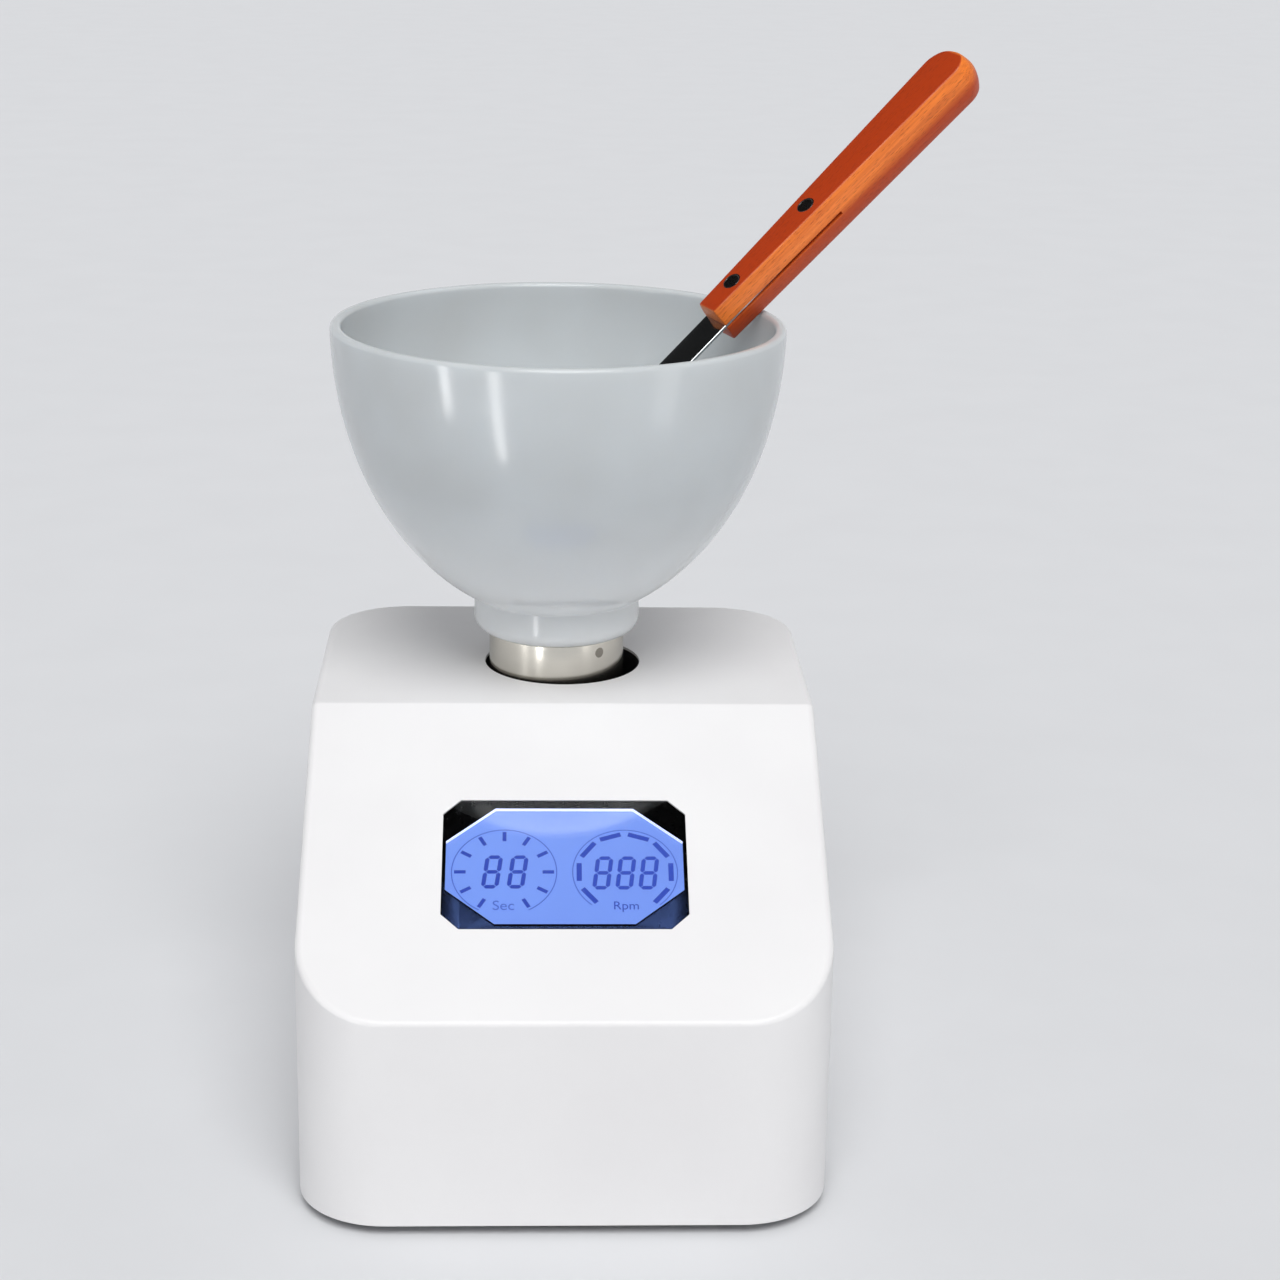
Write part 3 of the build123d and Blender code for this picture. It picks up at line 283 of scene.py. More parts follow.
@dataclass(frozen=True)
class MouldedPlastic(Finish):
    """Injection-moulded plastic: an even spark-eroded grain, faint flow marks, a share of mirroring."""

    grain_mm: float = 0.9
    depth_mm: float = 0.012
    shade: str = "#000000"
    shade_share: float = 0.03
    mirror: float = 0.5

    def dress(self, tree: bpy.types.NodeTree, shader: bpy.types.Node,
              place: bpy.types.NodeSocket) -> None:
        """Add grain as a bump, slow flow marks as a slight change of colour and gloss."""
        shader.inputs["Specular IOR Level"].default_value = self.mirror
        flow = add_node(tree, "ShaderNodeTexNoise", {"Vector": place, "Scale": 22.0, "Detail": 3.0})
        share = add_node(tree, "ShaderNodeMapRange", {
            "Value": flow.outputs[0], "From Min": 0.35, "From Max": 0.7,
            "To Min": 0.0, "To Max": self.shade_share})
        tint = add_node(tree, "ShaderNodeMix", {
            0: share.outputs[0], 6: linear(self.colour), 7: linear(self.shade)}, data_type="RGBA")
        tree.links.new(tint.outputs[2], shader.inputs["Base Color"])
        grain = add_node(tree, "ShaderNodeTexNoise", {
            "Vector": place, "Scale": 1 / (self.grain_mm * MM), "Detail": 2.0})
        gloss = add_node(tree, "ShaderNodeMapRange", {
            "Value": grain.outputs[0], "From Min": 0.3, "From Max": 0.7,
            "To Min": self.roughness - 0.04, "To Max": self.roughness + 0.05})
        tree.links.new(gloss.outputs[0], shader.inputs["Roughness"])
        bump = add_node(tree, "ShaderNodeBump", {
            "Height": grain.outputs[0], "Distance": self.depth_mm * MM, "Strength": 1.0})
        tree.links.new(bump.outputs[0], shader.inputs["Normal"])


@dataclass(frozen=True)
class Silicone(Finish):
    """Cast silicone rubber: glossy, a little translucent, faintly uneven, with painted light that whitens
    it towards the floor and foot.
    """

    glow: float = 0.3
    depth_mm: float = 0.02
    smeared: str = "#C9CDCE"
    # painted light: the colour below whitens the bowl towards its floor and foot, standing in for the
    # mirrored white case top and lifting the shaded foot
    thick: str = "#E6E9EA"
    painted_light_start_mm: float = 178.0
    painted_light_full_mm: float = 130.0

    def dress(self, tree: bpy.types.NodeTree, shader: bpy.types.Node,
              place: bpy.types.NodeSocket) -> None:
        """Add light under the skin, a soft mottle, painted light low down and a slow waviness of the cast
        wall.
        """
        shader.inputs["Subsurface Weight"].default_value = self.glow
        shader.inputs["Subsurface Radius"].default_value = (1.0, 1.1, 1.2)
        shader.inputs["Subsurface Scale"].default_value = 4 * MM
        shader.inputs["IOR"].default_value = 1.46
        mottle = add_node(tree, "ShaderNodeTexNoise", {"Vector": place, "Scale": 40.0, "Detail": 1.0})
        share = add_node(tree, "ShaderNodeMapRange", {
            "Value": mottle.outputs[0], "From Min": 0.3, "From Max": 0.75, "To Min": 0.0, "To Max": 1.0})
        tint = add_node(tree, "ShaderNodeMix", {
            0: share.outputs[0], 6: linear(self.colour), 7: linear(self.smeared)}, data_type="RGBA")
        # painted light: towards the floor and foot the colour turns whiter, standing in for the mirrored
        # white case top and lifting the shaded foot
        height = add_node(tree, "ShaderNodeSeparateXYZ", {0: place}).outputs["Z"]
        painted_light_share = add_node(tree, "ShaderNodeMapRange", {
            "Value": height, "From Min": self.painted_light_start_mm * MM, "From Max": self.painted_light_full_mm * MM,
            "To Min": 0.0, "To Max": 1.0})
        depth = add_node(tree, "ShaderNodeMix", {
            0: painted_light_share.outputs[0], 6: tint.outputs[2], 7: linear(self.thick)}, data_type="RGBA")
        tree.links.new(depth.outputs[2], shader.inputs["Base Color"])
        smear = add_node(tree, "ShaderNodeTexNoise", {"Vector": place, "Scale": 70.0, "Detail": 5.0})
        gloss = add_node(tree, "ShaderNodeMapRange", {
            "Value": smear.outputs[0], "From Min": 0.35, "From Max": 0.7,
            "To Min": self.roughness - 0.03, "To Max": self.roughness + 0.05})
        tree.links.new(gloss.outputs[0], shader.inputs["Roughness"])
        bump = add_node(tree, "ShaderNodeBump", {
            "Height": mottle.outputs[0], "Distance": self.depth_mm * MM, "Strength": 0.5})
        tree.links.new(bump.outputs[0], shader.inputs["Normal"])


@dataclass(frozen=True)
class Metal(Finish):
    """Bare or plated metal with the fine lines that its making left."""

    lay: Lay = Lay.EVEN
    line_mm: float = 0.25
    depth_mm: float = 0.004
    centre: Point = (0.0, 0.0)

    def dress(self, tree: bpy.types.NodeTree, shader: bpy.types.Node,
              place: bpy.types.NodeSocket) -> None:
        """Add fine lines as bump and as a change of gloss, and a slow change of tone."""
        shader.inputs["Metallic"].default_value = 1.0
        fine = 1 / (self.line_mm * MM)
        if self.lay is Lay.TURNED:
            moved = add_node(tree, "ShaderNodeMapping", {
                "Vector": place, "Location": (-self.centre[0] * MM, -self.centre[1] * MM, 0.0)})
            split = add_node(tree, "ShaderNodeSeparateXYZ", {"Vector": moved.outputs[0]})
            flat = add_node(tree, "ShaderNodeCombineXYZ", {
                "X": split.outputs["X"], "Y": split.outputs["Y"]})
            reach = add_node(tree, "ShaderNodeVectorMath", {0: flat.outputs[0]}, operation="LENGTH")
            way = add_node(tree, "ShaderNodeCombineXYZ", {
                "X": reach.outputs["Value"], "Z": split.outputs["Z"]}).outputs[0]
        else:
            along = 0.04 if self.lay is Lay.DRAWN else 1.0
            way = add_node(tree, "ShaderNodeMapping", {
                "Vector": place, "Scale": (along, 1.0, 1.0)}).outputs[0]
        lines = add_node(tree, "ShaderNodeTexNoise", {"Vector": way, "Scale": fine, "Detail": 3.0})
        gloss = add_node(tree, "ShaderNodeMapRange", {
            "Value": lines.outputs[0], "From Min": 0.3, "From Max": 0.7,
            "To Min": self.roughness * 0.75, "To Max": self.roughness * 1.35})
        tree.links.new(gloss.outputs[0], shader.inputs["Roughness"])
        tone = add_node(tree, "ShaderNodeTexNoise", {"Vector": place, "Scale": 60.0, "Detail": 2.0})
        base = linear(self.colour)
        share = add_node(tree, "ShaderNodeMapRange", {
            "Value": tone.outputs[0], "From Min": 0.3, "From Max": 0.7, "To Min": 0.0, "To Max": 1.0})
        tint = add_node(tree, "ShaderNodeMix", {
            0: share.outputs[0], 6: base, 7: tuple(c * 0.86 for c in base[:3]) + (1.0,)},
            data_type="RGBA")
        tree.links.new(tint.outputs[2], shader.inputs["Base Color"])
        bump = add_node(tree, "ShaderNodeBump", {
            "Height": lines.outputs[0], "Distance": self.depth_mm * MM, "Strength": 1.0})
        tree.links.new(bump.outputs[0], shader.inputs["Normal"])


@dataclass(frozen=True)
class VarnishedWood(Finish):
    """Reddish hardwood under clear varnish: streaks and short pores along the handle."""

    late_wood: str = "#DC6E2A"
    # painted shade: the colour below darkens the sides turned from the light, and the heights after
    # ragged_mm set where it fades on the narrow sides
    flat_face_shade: str = "#B23200"
    half_mm: float = 6.15
    ragged_mm: float = 3.5
    side_shade_full_mm: float = 0.2
    side_shade_none_mm: float = 3.4
    pore: str = "#5E1C08"
    origin: Point3 = (0.0, 0.0, 0.0)
    turn: Point3 = (0.0, 0.0, 0.0)

    def dress(self, tree: bpy.types.NodeTree, shader: bpy.types.Node,
              place: bpy.types.NodeSocket) -> None:
        """Add growth bands, streaks, open pores, painted shade on the flat faces and lower narrow sides,
        and a smooth coat over them.
        """
        shader.inputs["Specular IOR Level"].default_value = 0.3
        shader.inputs["Coat Weight"].default_value = 0.12
        shader.inputs["Coat Roughness"].default_value = 0.25
        local = add_node(tree, "ShaderNodeMapping", {
            "Vector": place, "Location": self.origin, "Rotation": self.turn},
            vector_type="TEXTURE").outputs[0]
        # growth bands about 3 mm apart, drawn out some 40 times along the grain
        bands_at = add_node(tree, "ShaderNodeMapping", {"Vector": local, "Scale": (8.0, 330.0, 330.0)})
        bands = add_node(tree, "ShaderNodeTexNoise", {
            "Vector": bands_at.outputs[0], "Scale": 1.0, "Detail": 4.0, "Distortion": 0.6})
        streaks_at = add_node(tree, "ShaderNodeMapping", {
            "Vector": local, "Scale": (45.0, 1900.0, 1900.0)})
        streaks = add_node(tree, "ShaderNodeTexNoise", {
            "Vector": streaks_at.outputs[0], "Scale": 1.0, "Detail": 3.0})
        both = add_node(tree, "ShaderNodeMath", {0: bands.outputs[0], 1: streaks.outputs[0]},
                        operation="ADD")
        share = add_node(tree, "ShaderNodeMapRange", {
            "Value": both.outputs[0], "From Min": 0.72, "From Max": 1.28, "To Min": 0.0, "To Max": 1.0})
        wood = add_node(tree, "ShaderNodeMix", {
            0: share.outputs[0], 6: linear(self.colour), 7: linear(self.late_wood)}, data_type="RGBA")
        # pores 0.3 mm wide and 4 mm long, a little coarser than real so that they show
        pores_at = add_node(tree, "ShaderNodeMapping", {
            "Vector": local, "Scale": (260.0, 3200.0, 3200.0)})
        pores = add_node(tree, "ShaderNodeTexVoronoi", {
            "Vector": pores_at.outputs[0], "Scale": 1.0, "Randomness": 1.0})
        open_pore = add_node(tree, "ShaderNodeMapRange", {
            "Value": pores.outputs["Distance"], "From Min": 0.12, "From Max": 0.3,
            "To Min": 0.5, "To Max": 0.0})
        # painted shade: the two flat faces, turned from the light, take a darker red-brown colour
        height = add_node(tree, "ShaderNodeSeparateXYZ", {0: local}).outputs["Z"]
        off_middle = add_node(tree, "ShaderNodeMath", {0: height}, operation="ABSOLUTE")
        flat = add_node(tree, "ShaderNodeMapRange", {
            "Value": off_middle.outputs[0], "From Min": (self.half_mm - 0.35) * MM,
            "From Max": (self.half_mm - 0.05) * MM, "To Min": 0.0, "To Max": 0.94})
        # painted shade and light: on the narrow sides the darker colour fades out towards the upper
        # ridge, which catches the light, with an uneven border
        ragged = add_node(tree, "ShaderNodeMath", {
            0: bands.outputs[0], 1: self.ragged_mm * MM, 2: height}, operation="MULTIPLY_ADD")
        side_shade = add_node(tree, "ShaderNodeMapRange", {
            "Value": ragged.outputs[0], "From Min": self.side_shade_full_mm * MM,
            "From Max": self.side_shade_none_mm * MM, "To Min": 0.85, "To Max": 0.0})
        # painted shade mask: the larger of the flat-face share and the lower-side share
        varnish = add_node(tree, "ShaderNodeMath", {0: flat.outputs[0], 1: side_shade.outputs[0]},
                           operation="MAXIMUM")
        dark = add_node(tree, "ShaderNodeMix", {
            0: varnish.outputs[0], 6: wood.outputs[2], 7: linear(self.flat_face_shade)}, data_type="RGBA")
        tint = add_node(tree, "ShaderNodeMix", {
            0: open_pore.outputs[0], 6: dark.outputs[2], 7: linear(self.pore)}, data_type="RGBA")
        tree.links.new(tint.outputs[2], shader.inputs["Base Color"])
        gloss = add_node(tree, "ShaderNodeMapRange", {
            "Value": streaks.outputs[0], "From Min": 0.3, "From Max": 0.7,
            "To Min": self.roughness - 0.06, "To Max": self.roughness + 0.08})
        tree.links.new(gloss.outputs[0], shader.inputs["Roughness"])
        bump = add_node(tree, "ShaderNodeBump", {
            "Height": both.outputs[0], "Distance": 0.05 * MM, "Strength": 0.6})
        tree.links.new(bump.outputs[0], shader.inputs["Normal"])


@dataclass(frozen=True)
class ClearSheet(Finish):
    """Clear sheet or tube, such as acrylic or glass, with the faintest haze."""

    ior: float = 1.49

    def dress(self, tree: bpy.types.NodeTree, shader: bpy.types.Node,
              place: bpy.types.NodeSocket) -> None:
        """Let light through, with a haze that comes and goes over a few centimetres."""
        shader.inputs["Transmission Weight"].default_value = 1.0
        shader.inputs["IOR"].default_value = self.ior
        haze = add_node(tree, "ShaderNodeTexNoise", {"Vector": place, "Scale": 40.0, "Detail": 2.0})
        gloss = add_node(tree, "ShaderNodeMapRange", {
            "Value": haze.outputs[0], "From Min": 0.3, "From Max": 0.7,
            "To Min": 0.0, "To Max": 2 * self.roughness})
        tree.links.new(gloss.outputs[0], shader.inputs["Roughness"])


@dataclass(frozen=True)
class Backlit(Finish):
    """A lit liquid crystal surface: its colour comes from behind, a little uneven."""

    glow: str = "#80A4FE"
    glow_far: str = "#7A9BF6"
    strength: float = 1.0

    def dress(self, tree: bpy.types.NodeTree, shader: bpy.types.Node,
              place: bpy.types.NodeSocket) -> None:
        """Add the light from behind, with the slow unevenness of an edge-lit sheet."""
        shader.inputs["Emission Strength"].default_value = self.strength
        cloud = add_node(tree, "ShaderNodeTexNoise", {"Vector": place, "Scale": 30.0, "Detail": 2.0})
        share = add_node(tree, "ShaderNodeMapRange", {
            "Value": cloud.outputs[0], "From Min": 0.3, "From Max": 0.7, "To Min": 0.0, "To Max": 1.0})
        tint = add_node(tree, "ShaderNodeMix", {
            0: share.outputs[0], 6: linear(self.glow), 7: linear(self.glow_far)}, data_type="RGBA")
        tree.links.new(tint.outputs[2], shader.inputs["Emission Color"])


@dataclass(frozen=True)
class CircuitBoard(Finish):
    """Glass-fibre board under green lacquer, with copper tracks that show through it."""

    track: str = "#2E7A4A"

    def dress(self, tree: bpy.types.NodeTree, shader: bpy.types.Node,
              place: bpy.types.NodeSocket) -> None:
        """Add raised tracks about 1.5 mm apart."""
        shader.inputs["Coat Weight"].default_value = 0.4
        tracks = add_node(tree, "ShaderNodeTexBrick", {
            "Vector": place, "Scale": 160.0, "Color1": (0.0, 0.0, 0.0, 1.0),
            "Color2": (0.2, 0.2, 0.2, 1.0), "Mortar": (1.0, 1.0, 1.0, 1.0), "Mortar Size": 0.03})
        tint = add_node(tree, "ShaderNodeMix", {
            0: tracks.outputs["Fac"], 6: linear(self.colour), 7: linear(self.track)}, data_type="RGBA")
        tree.links.new(tint.outputs[2], shader.inputs["Base Color"])
        bump = add_node(tree, "ShaderNodeBump", {
            "Height": tracks.outputs["Fac"], "Distance": 0.05 * MM, "Strength": 1.0})
        tree.links.new(bump.outputs[0], shader.inputs["Normal"])


# ABS, moulded: a soft satin white whose grain is only felt
WHITE_ABS = MouldedPlastic("white_moulded_abs", "#EFEEEE", 0.42, shade="#E2E0E1", shade_share=0.3)
WHITE_PLASTIC = MouldedPlastic("white_moulded_polyamide", "#E4E3DE", 0.5, shade="#C9C8C2",
                               shade_share=0.5)
BLACK_PLASTIC = MouldedPlastic("black_moulded_polyamide", "#141415", 0.5, shade="#26262A",
                               shade_share=0.6)
# screen print behind a clear window: black with a wet gloss and no grain to speak of
BLACK_PRINT = MouldedPlastic("black_screen_print", "#020203", 0.3, grain_mm=1.5, depth_mm=0.002,
                             shade="#050507", shade_share=0.5, mirror=0.05)
GLOSS_BLACK = MouldedPlastic("black_glossy_polycarbonate", "#0C0C0D", 0.22, depth_mm=0.004,
                             shade="#17171A", shade_share=0.5)
EPOXY = MouldedPlastic("black_moulding_epoxy", "#1B1B1C", 0.6, grain_mm=0.4, depth_mm=0.02,
                       shade="#303033", shade_share=0.6)
RUBBER = MouldedPlastic("black_nitrile_rubber", "#1A1A1B", 0.75, grain_mm=0.5, depth_mm=0.03,
                        shade="#2C2C2D", shade_share=0.7)
BELT = MouldedPlastic("orange_cast_polyurethane", "#C9682A", 0.35, grain_mm=0.7, depth_mm=0.02,
                      shade="#A94E1C", shade_share=0.6)
SLEEVE = MouldedPlastic("blue_shrunk_pvc_sleeve", "#1E2F57", 0.3, shade="#16223F", shade_share=0.6)
TAPE = MouldedPlastic("yellow_polyester_tape", "#D8B23A", 0.3, shade="#B9932A", shade_share=0.7)
FERRITE = MouldedPlastic("grey_sintered_ferrite", "#3A3A3D", 0.6, grain_mm=0.4, depth_mm=0.03,
                         shade="#55555A", shade_share=0.7)
SILICONE = Silicone("grey_cast_silicone", "#D0D5D7", 0.15)
CLEAR_ACRYLIC = ClearSheet("clear_acrylic_sheet", "#FFFFFF", 0.01)
CLEAR_GLASS = ClearSheet("clear_drawn_glass", "#FFFFFF", 0.005, ior=1.52)
LIT_BLUE = Backlit("backlit_crystal_cell", "#10183A", 0.3)
DARK_CRYSTAL = Backlit("dark_crystal_segments", "#10183A", 0.3, glow="#3148B4", glow_far="#3954C4")
FAINT_CRYSTAL = Backlit("faint_crystal_lines", "#10183A", 0.3, glow="#4C6AD2", glow_far="#5474DA")
EDGE_LIGHT = Backlit("light_at_the_cell_edge", "#C8D4FF", 0.3, glow="#E6ECFF", glow_far="#D4DEFF")
BOARD = CircuitBoard("green_lacquered_board", "#14512E", 0.35)
# turned and left bright: rings of fine lines that draw highlights out sideways
TURNED_STAINLESS = Metal("turned_stainless_steel", "#DEDAD0", 0.2, Lay.TURNED, 0.3, 0.0012)
GROUND_STEEL = Metal("ground_bearing_steel", "#BFC0C2", 0.15, Lay.TURNED, 0.1, 0.002)
PIN_STEEL = Metal("blunted_pin_steel", "#9C978E", 0.4, Lay.EVEN, 0.3, 0.004)
SHEET_STEEL = Metal("zinc_plated_sheet_steel", "#B9BBBE", 0.38, Lay.DRAWN, 0.4, 0.01)
SCREW_STEEL = Metal("zinc_plated_screw_steel", "#A9ABAE", 0.32, Lay.EVEN, 0.3, 0.006)
BLADE_STEEL = Metal("polished_blade_steel", "#C4C8C9", 0.12, Lay.EVEN, 0.5, 0.001)
# painted reflection: this dark grey stands in for the dark surroundings that the rivet heads mirror
RIVET_STEEL = Metal("worn_rivet_steel", "#6E6866", 0.3, Lay.EVEN, 0.3, 0.01)
NICKEL = Metal("bright_nickel_plate", "#C9C4B8", 0.2, Lay.EVEN, 0.3, 0.003)
ALUMINIUM = Metal("turned_aluminium", "#C6C8CA", 0.3, Lay.TURNED, 0.25, 0.006)
BLACK_ANODISED = Metal("black_anodised_aluminium", "#26272A", 0.45, Lay.DRAWN, 0.3, 0.006)
BRASS = Metal("drawn_brass", "#C6A05A", 0.3, Lay.DRAWN, 0.3, 0.005)
FLOOR = MouldedPlastic("pale_painted_floor", "#DCDDDF", 0.8, grain_mm=6.0, depth_mm=0.004,
                       shade="#D9DADC", shade_share=0.5, mirror=0.0)

SLOT_FINISH: dict[str, Finish] = {
    "white_abs": WHITE_ABS, "black_plastic": BLACK_PLASTIC, "black_gloss_plastic": GLOSS_BLACK,
    "white_plastic": WHITE_PLASTIC, "clear_window": CLEAR_ACRYLIC, "clear_glass": CLEAR_GLASS,
    "blue_lcd": LIT_BLUE, "circuit_board": BOARD, "black_epoxy": EPOXY, "zinc_steel": SHEET_STEEL,
    "screw_steel": SCREW_STEEL, "ground_steel": GROUND_STEEL, "stainless_steel": TURNED_STAINLESS,
    "polished_steel": BLADE_STEEL, "nickel_plate": NICKEL, "aluminium": ALUMINIUM,
    "black_anodised_aluminium": BLACK_ANODISED, "brass": BRASS, "black_rubber": RUBBER,
    "belt_polyurethane": BELT, "grey_silicone": SILICONE, "capacitor_sleeve": SLEEVE,
    "ferrite": FERRITE, "polyester_tape": TAPE,
}


# --------------------------------------------------------------------------- geometry trees
class GeometryTree:
    """A geometry node tree with named inputs, which ends in Realize Instances and Set Material."""

    def __init__(self, name: str, sizes: dict[str, tuple[str, Any]]) -> None:
        """Start a tree.

        Args:
            name: The tree's name.
            sizes: The kind (Float, Int, Vector, Object, Material) and value of each input.
        """
        self.tree = bpy.data.node_groups.new(name, "GeometryNodeTree")
        face = self.tree.interface
        face.new_socket("Geometry", in_out="INPUT", socket_type="NodeSocketGeometry")
        self.sockets = {}
        self.values = {key: value for key, (_, value) in sizes.items()}
        for key, (kind, _) in sizes.items():
            made = face.new_socket(key, in_out="INPUT", socket_type=f"NodeSocket{kind}")
            self.sockets[key] = made.identifier
        face.new_socket("Geometry", in_out="OUTPUT", socket_type="NodeSocketGeometry")
        self.start = self.tree.nodes.new("NodeGroupInput").outputs
        self.end = self.tree.nodes.new("NodeGroupOutput")

    def node(self, kind: str, inputs: dict[Any, Any] | None = None, **settings: Any) -> bpy.types.Node:
        """Add one node to this tree."""
        return add_node(self.tree, kind, inputs, **settings)

    def close(self, shape: bpy.types.NodeSocket) -> None:
        """Realize the instances, set the material and hand the shape to the output."""
        real = self.node("GeometryNodeRealizeInstances", {"Geometry": shape})
        done = self.node("GeometryNodeSetMaterial", {
            "Geometry": real.outputs[0], "Material": self.start["Material"]})
        self.tree.links.new(done.outputs[0], self.end.inputs[0])

    def make(self, name: str, base: bpy.types.Mesh, finish: Finish, place: Matrix | None = None,
             smooth_angle: float = 35.0, **values: Any) -> bpy.types.Object:
        """Run the tree on a mesh and keep the result as a plain mesh.

        Args:
            name: The piece's name.
            base: The mesh that the tree starts from.
            finish: The piece's finish.
            place: Where the result is put, or None to leave it.
            smooth_angle: Edges sharper than this, in degrees, stay sharp.
            **values: A value for each named input that differs from the tree's own.

        Returns:
            The piece, with no modifier left on it.
        """
        source = new_object(name + ".source", base)
        modifier = source.modifiers.new("form", "NODES")
        modifier.node_group = self.tree
        wanted = {**self.values, **values, "Material": finish.material()}
        for key, value in wanted.items():
            modifier[self.sockets[key]] = value
        piece = settle(source, name, None, smooth_angle)
        if place is not None:
            piece.data.transform(place)
        if not piece.data.materials:
            piece.data.materials.append(finish.material())
        return piece


def lathe_tree() -> GeometryTree:
    """A tree that turns a half section, given as points in order, round the Z axis."""
    form = GeometryTree("lathe", {"Steps": ("Int", 192), "Material": ("Material", None)})
    section = form.start["Geometry"]
    size = form.node("GeometryNodeAttributeDomainSize", {0: section}, component="MESH")
    count = size.outputs["Point Count"]
    columns = form.node("ShaderNodeMath", {0: form.start["Steps"], 1: 1.0}, operation="ADD")
    grid = form.node("GeometryNodeMeshGrid", {
        "Size X": 1.0, "Size Y": 1.0, "Vertices X": columns.outputs[0], "Vertices Y": count})
    index = form.node("GeometryNodeInputIndex").outputs[0]
    share = form.node("ShaderNodeMath", {0: index, 1: count}, operation="DIVIDE")
    column = form.node("ShaderNodeMath", {0: share.outputs[0]}, operation="FLOOR")
    row = form.node("ShaderNodeMath", {0: index, 1: count}, operation="FLOORED_MODULO")
    part = form.node("ShaderNodeMath", {0: column.outputs[0], 1: form.start["Steps"]},
                     operation="DIVIDE")
    turn = form.node("ShaderNodeMath", {0: part.outputs[0], 1: 2 * math.pi}, operation="MULTIPLY")
    where = form.node("GeometryNodeInputPosition").outputs[0]
    sample = form.node("GeometryNodeSampleIndex", {
        "Geometry": section, "Value": where, "Index": row.outputs[0]}, data_type="FLOAT_VECTOR")
    split = form.node("ShaderNodeSeparateXYZ", {0: sample.outputs[0]})
    cosine = form.node("ShaderNodeMath", {0: turn.outputs[0]}, operation="COSINE")
    sine = form.node("ShaderNodeMath", {0: turn.outputs[0]}, operation="SINE")
    x = form.node("ShaderNodeMath", {0: split.outputs[0], 1: cosine.outputs[0]}, operation="MULTIPLY")
    y = form.node("ShaderNodeMath", {0: split.outputs[0], 1: sine.outputs[0]}, operation="MULTIPLY")
    spot = form.node("ShaderNodeCombineXYZ", {0: x.outputs[0], 1: y.outputs[0], 2: split.outputs[2]})
    moved = form.node("GeometryNodeSetPosition", {
        "Geometry": grid.outputs["Mesh"], "Position": spot.outputs[0]})
    merged = form.node("GeometryNodeMergeByDistance", {"Geometry": moved.outputs[0], "Distance": 1e-7})
    form.close(merged.outputs[0])
    return form


def repeat_tree() -> GeometryTree:
    """A tree that puts a part on each point of a mesh, turned a little at random about Z."""
    form = GeometryTree("repeat", {
        "Part": ("Object", None), "Spin": ("Float", 0.0), "Seed": ("Int", 4),
        "Material": ("Material", None)})
    part = form.node("GeometryNodeObjectInfo", {"Object": form.start["Part"]})
    less = form.node("ShaderNodeMath", {0: form.start["Spin"], 1: -1.0}, operation="MULTIPLY")
    spin = form.node("FunctionNodeRandomValue", {
        "Min": less.outputs[0], "Max": form.start["Spin"], "Seed": form.start["Seed"]},
        data_type="FLOAT")
    turn = form.node("ShaderNodeCombineXYZ", {2: spin.outputs["Value"]})
    placed = form.node("GeometryNodeInstanceOnPoints", {
        "Points": form.start["Geometry"], "Instance": part.outputs["Geometry"],
        "Rotation": turn.outputs[0]})
    form.close(placed.outputs[0])
    return form


def dial_tree() -> GeometryTree:
    """A tree that lays bars round a dial, each at a point and turned to face the middle."""
    form = GeometryTree("dial", {
        "Length": ("Float", 0.003), "Width": ("Float", 0.001), "Height": ("Float", 0.0001),
        "Material": ("Material", None)})
    bar_size = form.node("ShaderNodeCombineXYZ", {
        0: form.start["Length"], 1: form.start["Width"], 2: form.start["Height"]})
    bar = form.node("GeometryNodeMeshCube", {"Size": bar_size.outputs[0]})
    where = form.node("GeometryNodeInputPosition").outputs[0]
    split = form.node("ShaderNodeSeparateXYZ", {0: where})
    angle = form.node("ShaderNodeMath", {0: split.outputs[1], 1: split.outputs[0]},
                      operation="ARCTAN2")
    turn = form.node("ShaderNodeCombineXYZ", {2: angle.outputs[0]})
    placed = form.node("GeometryNodeInstanceOnPoints", {
        "Points": form.start["Geometry"], "Instance": bar.outputs["Mesh"],
        "Rotation": turn.outputs[0]})
    form.close(placed.outputs[0])
    return form


def row_tree() -> GeometryTree:
    """A tree that repeats a part in an even row along X."""
    form = GeometryTree("row", {
        "Part": ("Object", None), "Count": ("Int", 2), "Pitch": ("Float", 0.006),
        "Material": ("Material", None)})
    step = form.node("ShaderNodeCombineXYZ", {0: form.start["Pitch"]})
    line = form.node("GeometryNodeMeshLine", {
        "Count": form.start["Count"], "Offset": step.outputs[0]})
    part = form.node("GeometryNodeObjectInfo", {"Object": form.start["Part"]})
    placed = form.node("GeometryNodeInstanceOnPoints", {
        "Points": line.outputs[0], "Instance": part.outputs["Geometry"]})
    form.close(placed.outputs[0])
    return form


def shading_tree() -> bpy.types.NodeTree:
    """A tree that joins a CAD node's loose triangles and shades its curved faces smooth."""
    tree = bpy.data.node_groups.new("smooth_shading", "GeometryNodeTree")
    tree.interface.new_socket("Geometry", in_out="INPUT", socket_type="NodeSocketGeometry")
    tree.interface.new_socket("Geometry", in_out="OUTPUT", socket_type="NodeSocketGeometry")
    start = add_node(tree, "NodeGroupInput")
    bare = add_node(tree, "GeometryNodeRemoveAttribute", {
        "Geometry": start.outputs[0], "Name": "custom_normal"})
    merged = add_node(tree, "GeometryNodeMergeByDistance", {
        "Geometry": bare.outputs[0], "Distance": 2e-6})
    smooth = add_node(tree, "GeometryNodeSetShadeSmooth", {
        0: merged.outputs[0], "Shade Smooth": True}, domain="FACE")
    angle = add_node(tree, "GeometryNodeInputMeshEdgeAngle").outputs[0]
    sharp = add_node(tree, "ShaderNodeMath", {0: angle, 1: math.radians(32)},
                     operation="GREATER_THAN")
    edges = add_node(tree, "GeometryNodeSetShadeSmooth", {
        0: smooth.outputs[0], "Selection": sharp.outputs[0], "Shade Smooth": False}, domain="EDGE")
    done = add_node(tree, "NodeGroupOutput")
    tree.links.new(edges.outputs[0], done.inputs[0])
    return tree


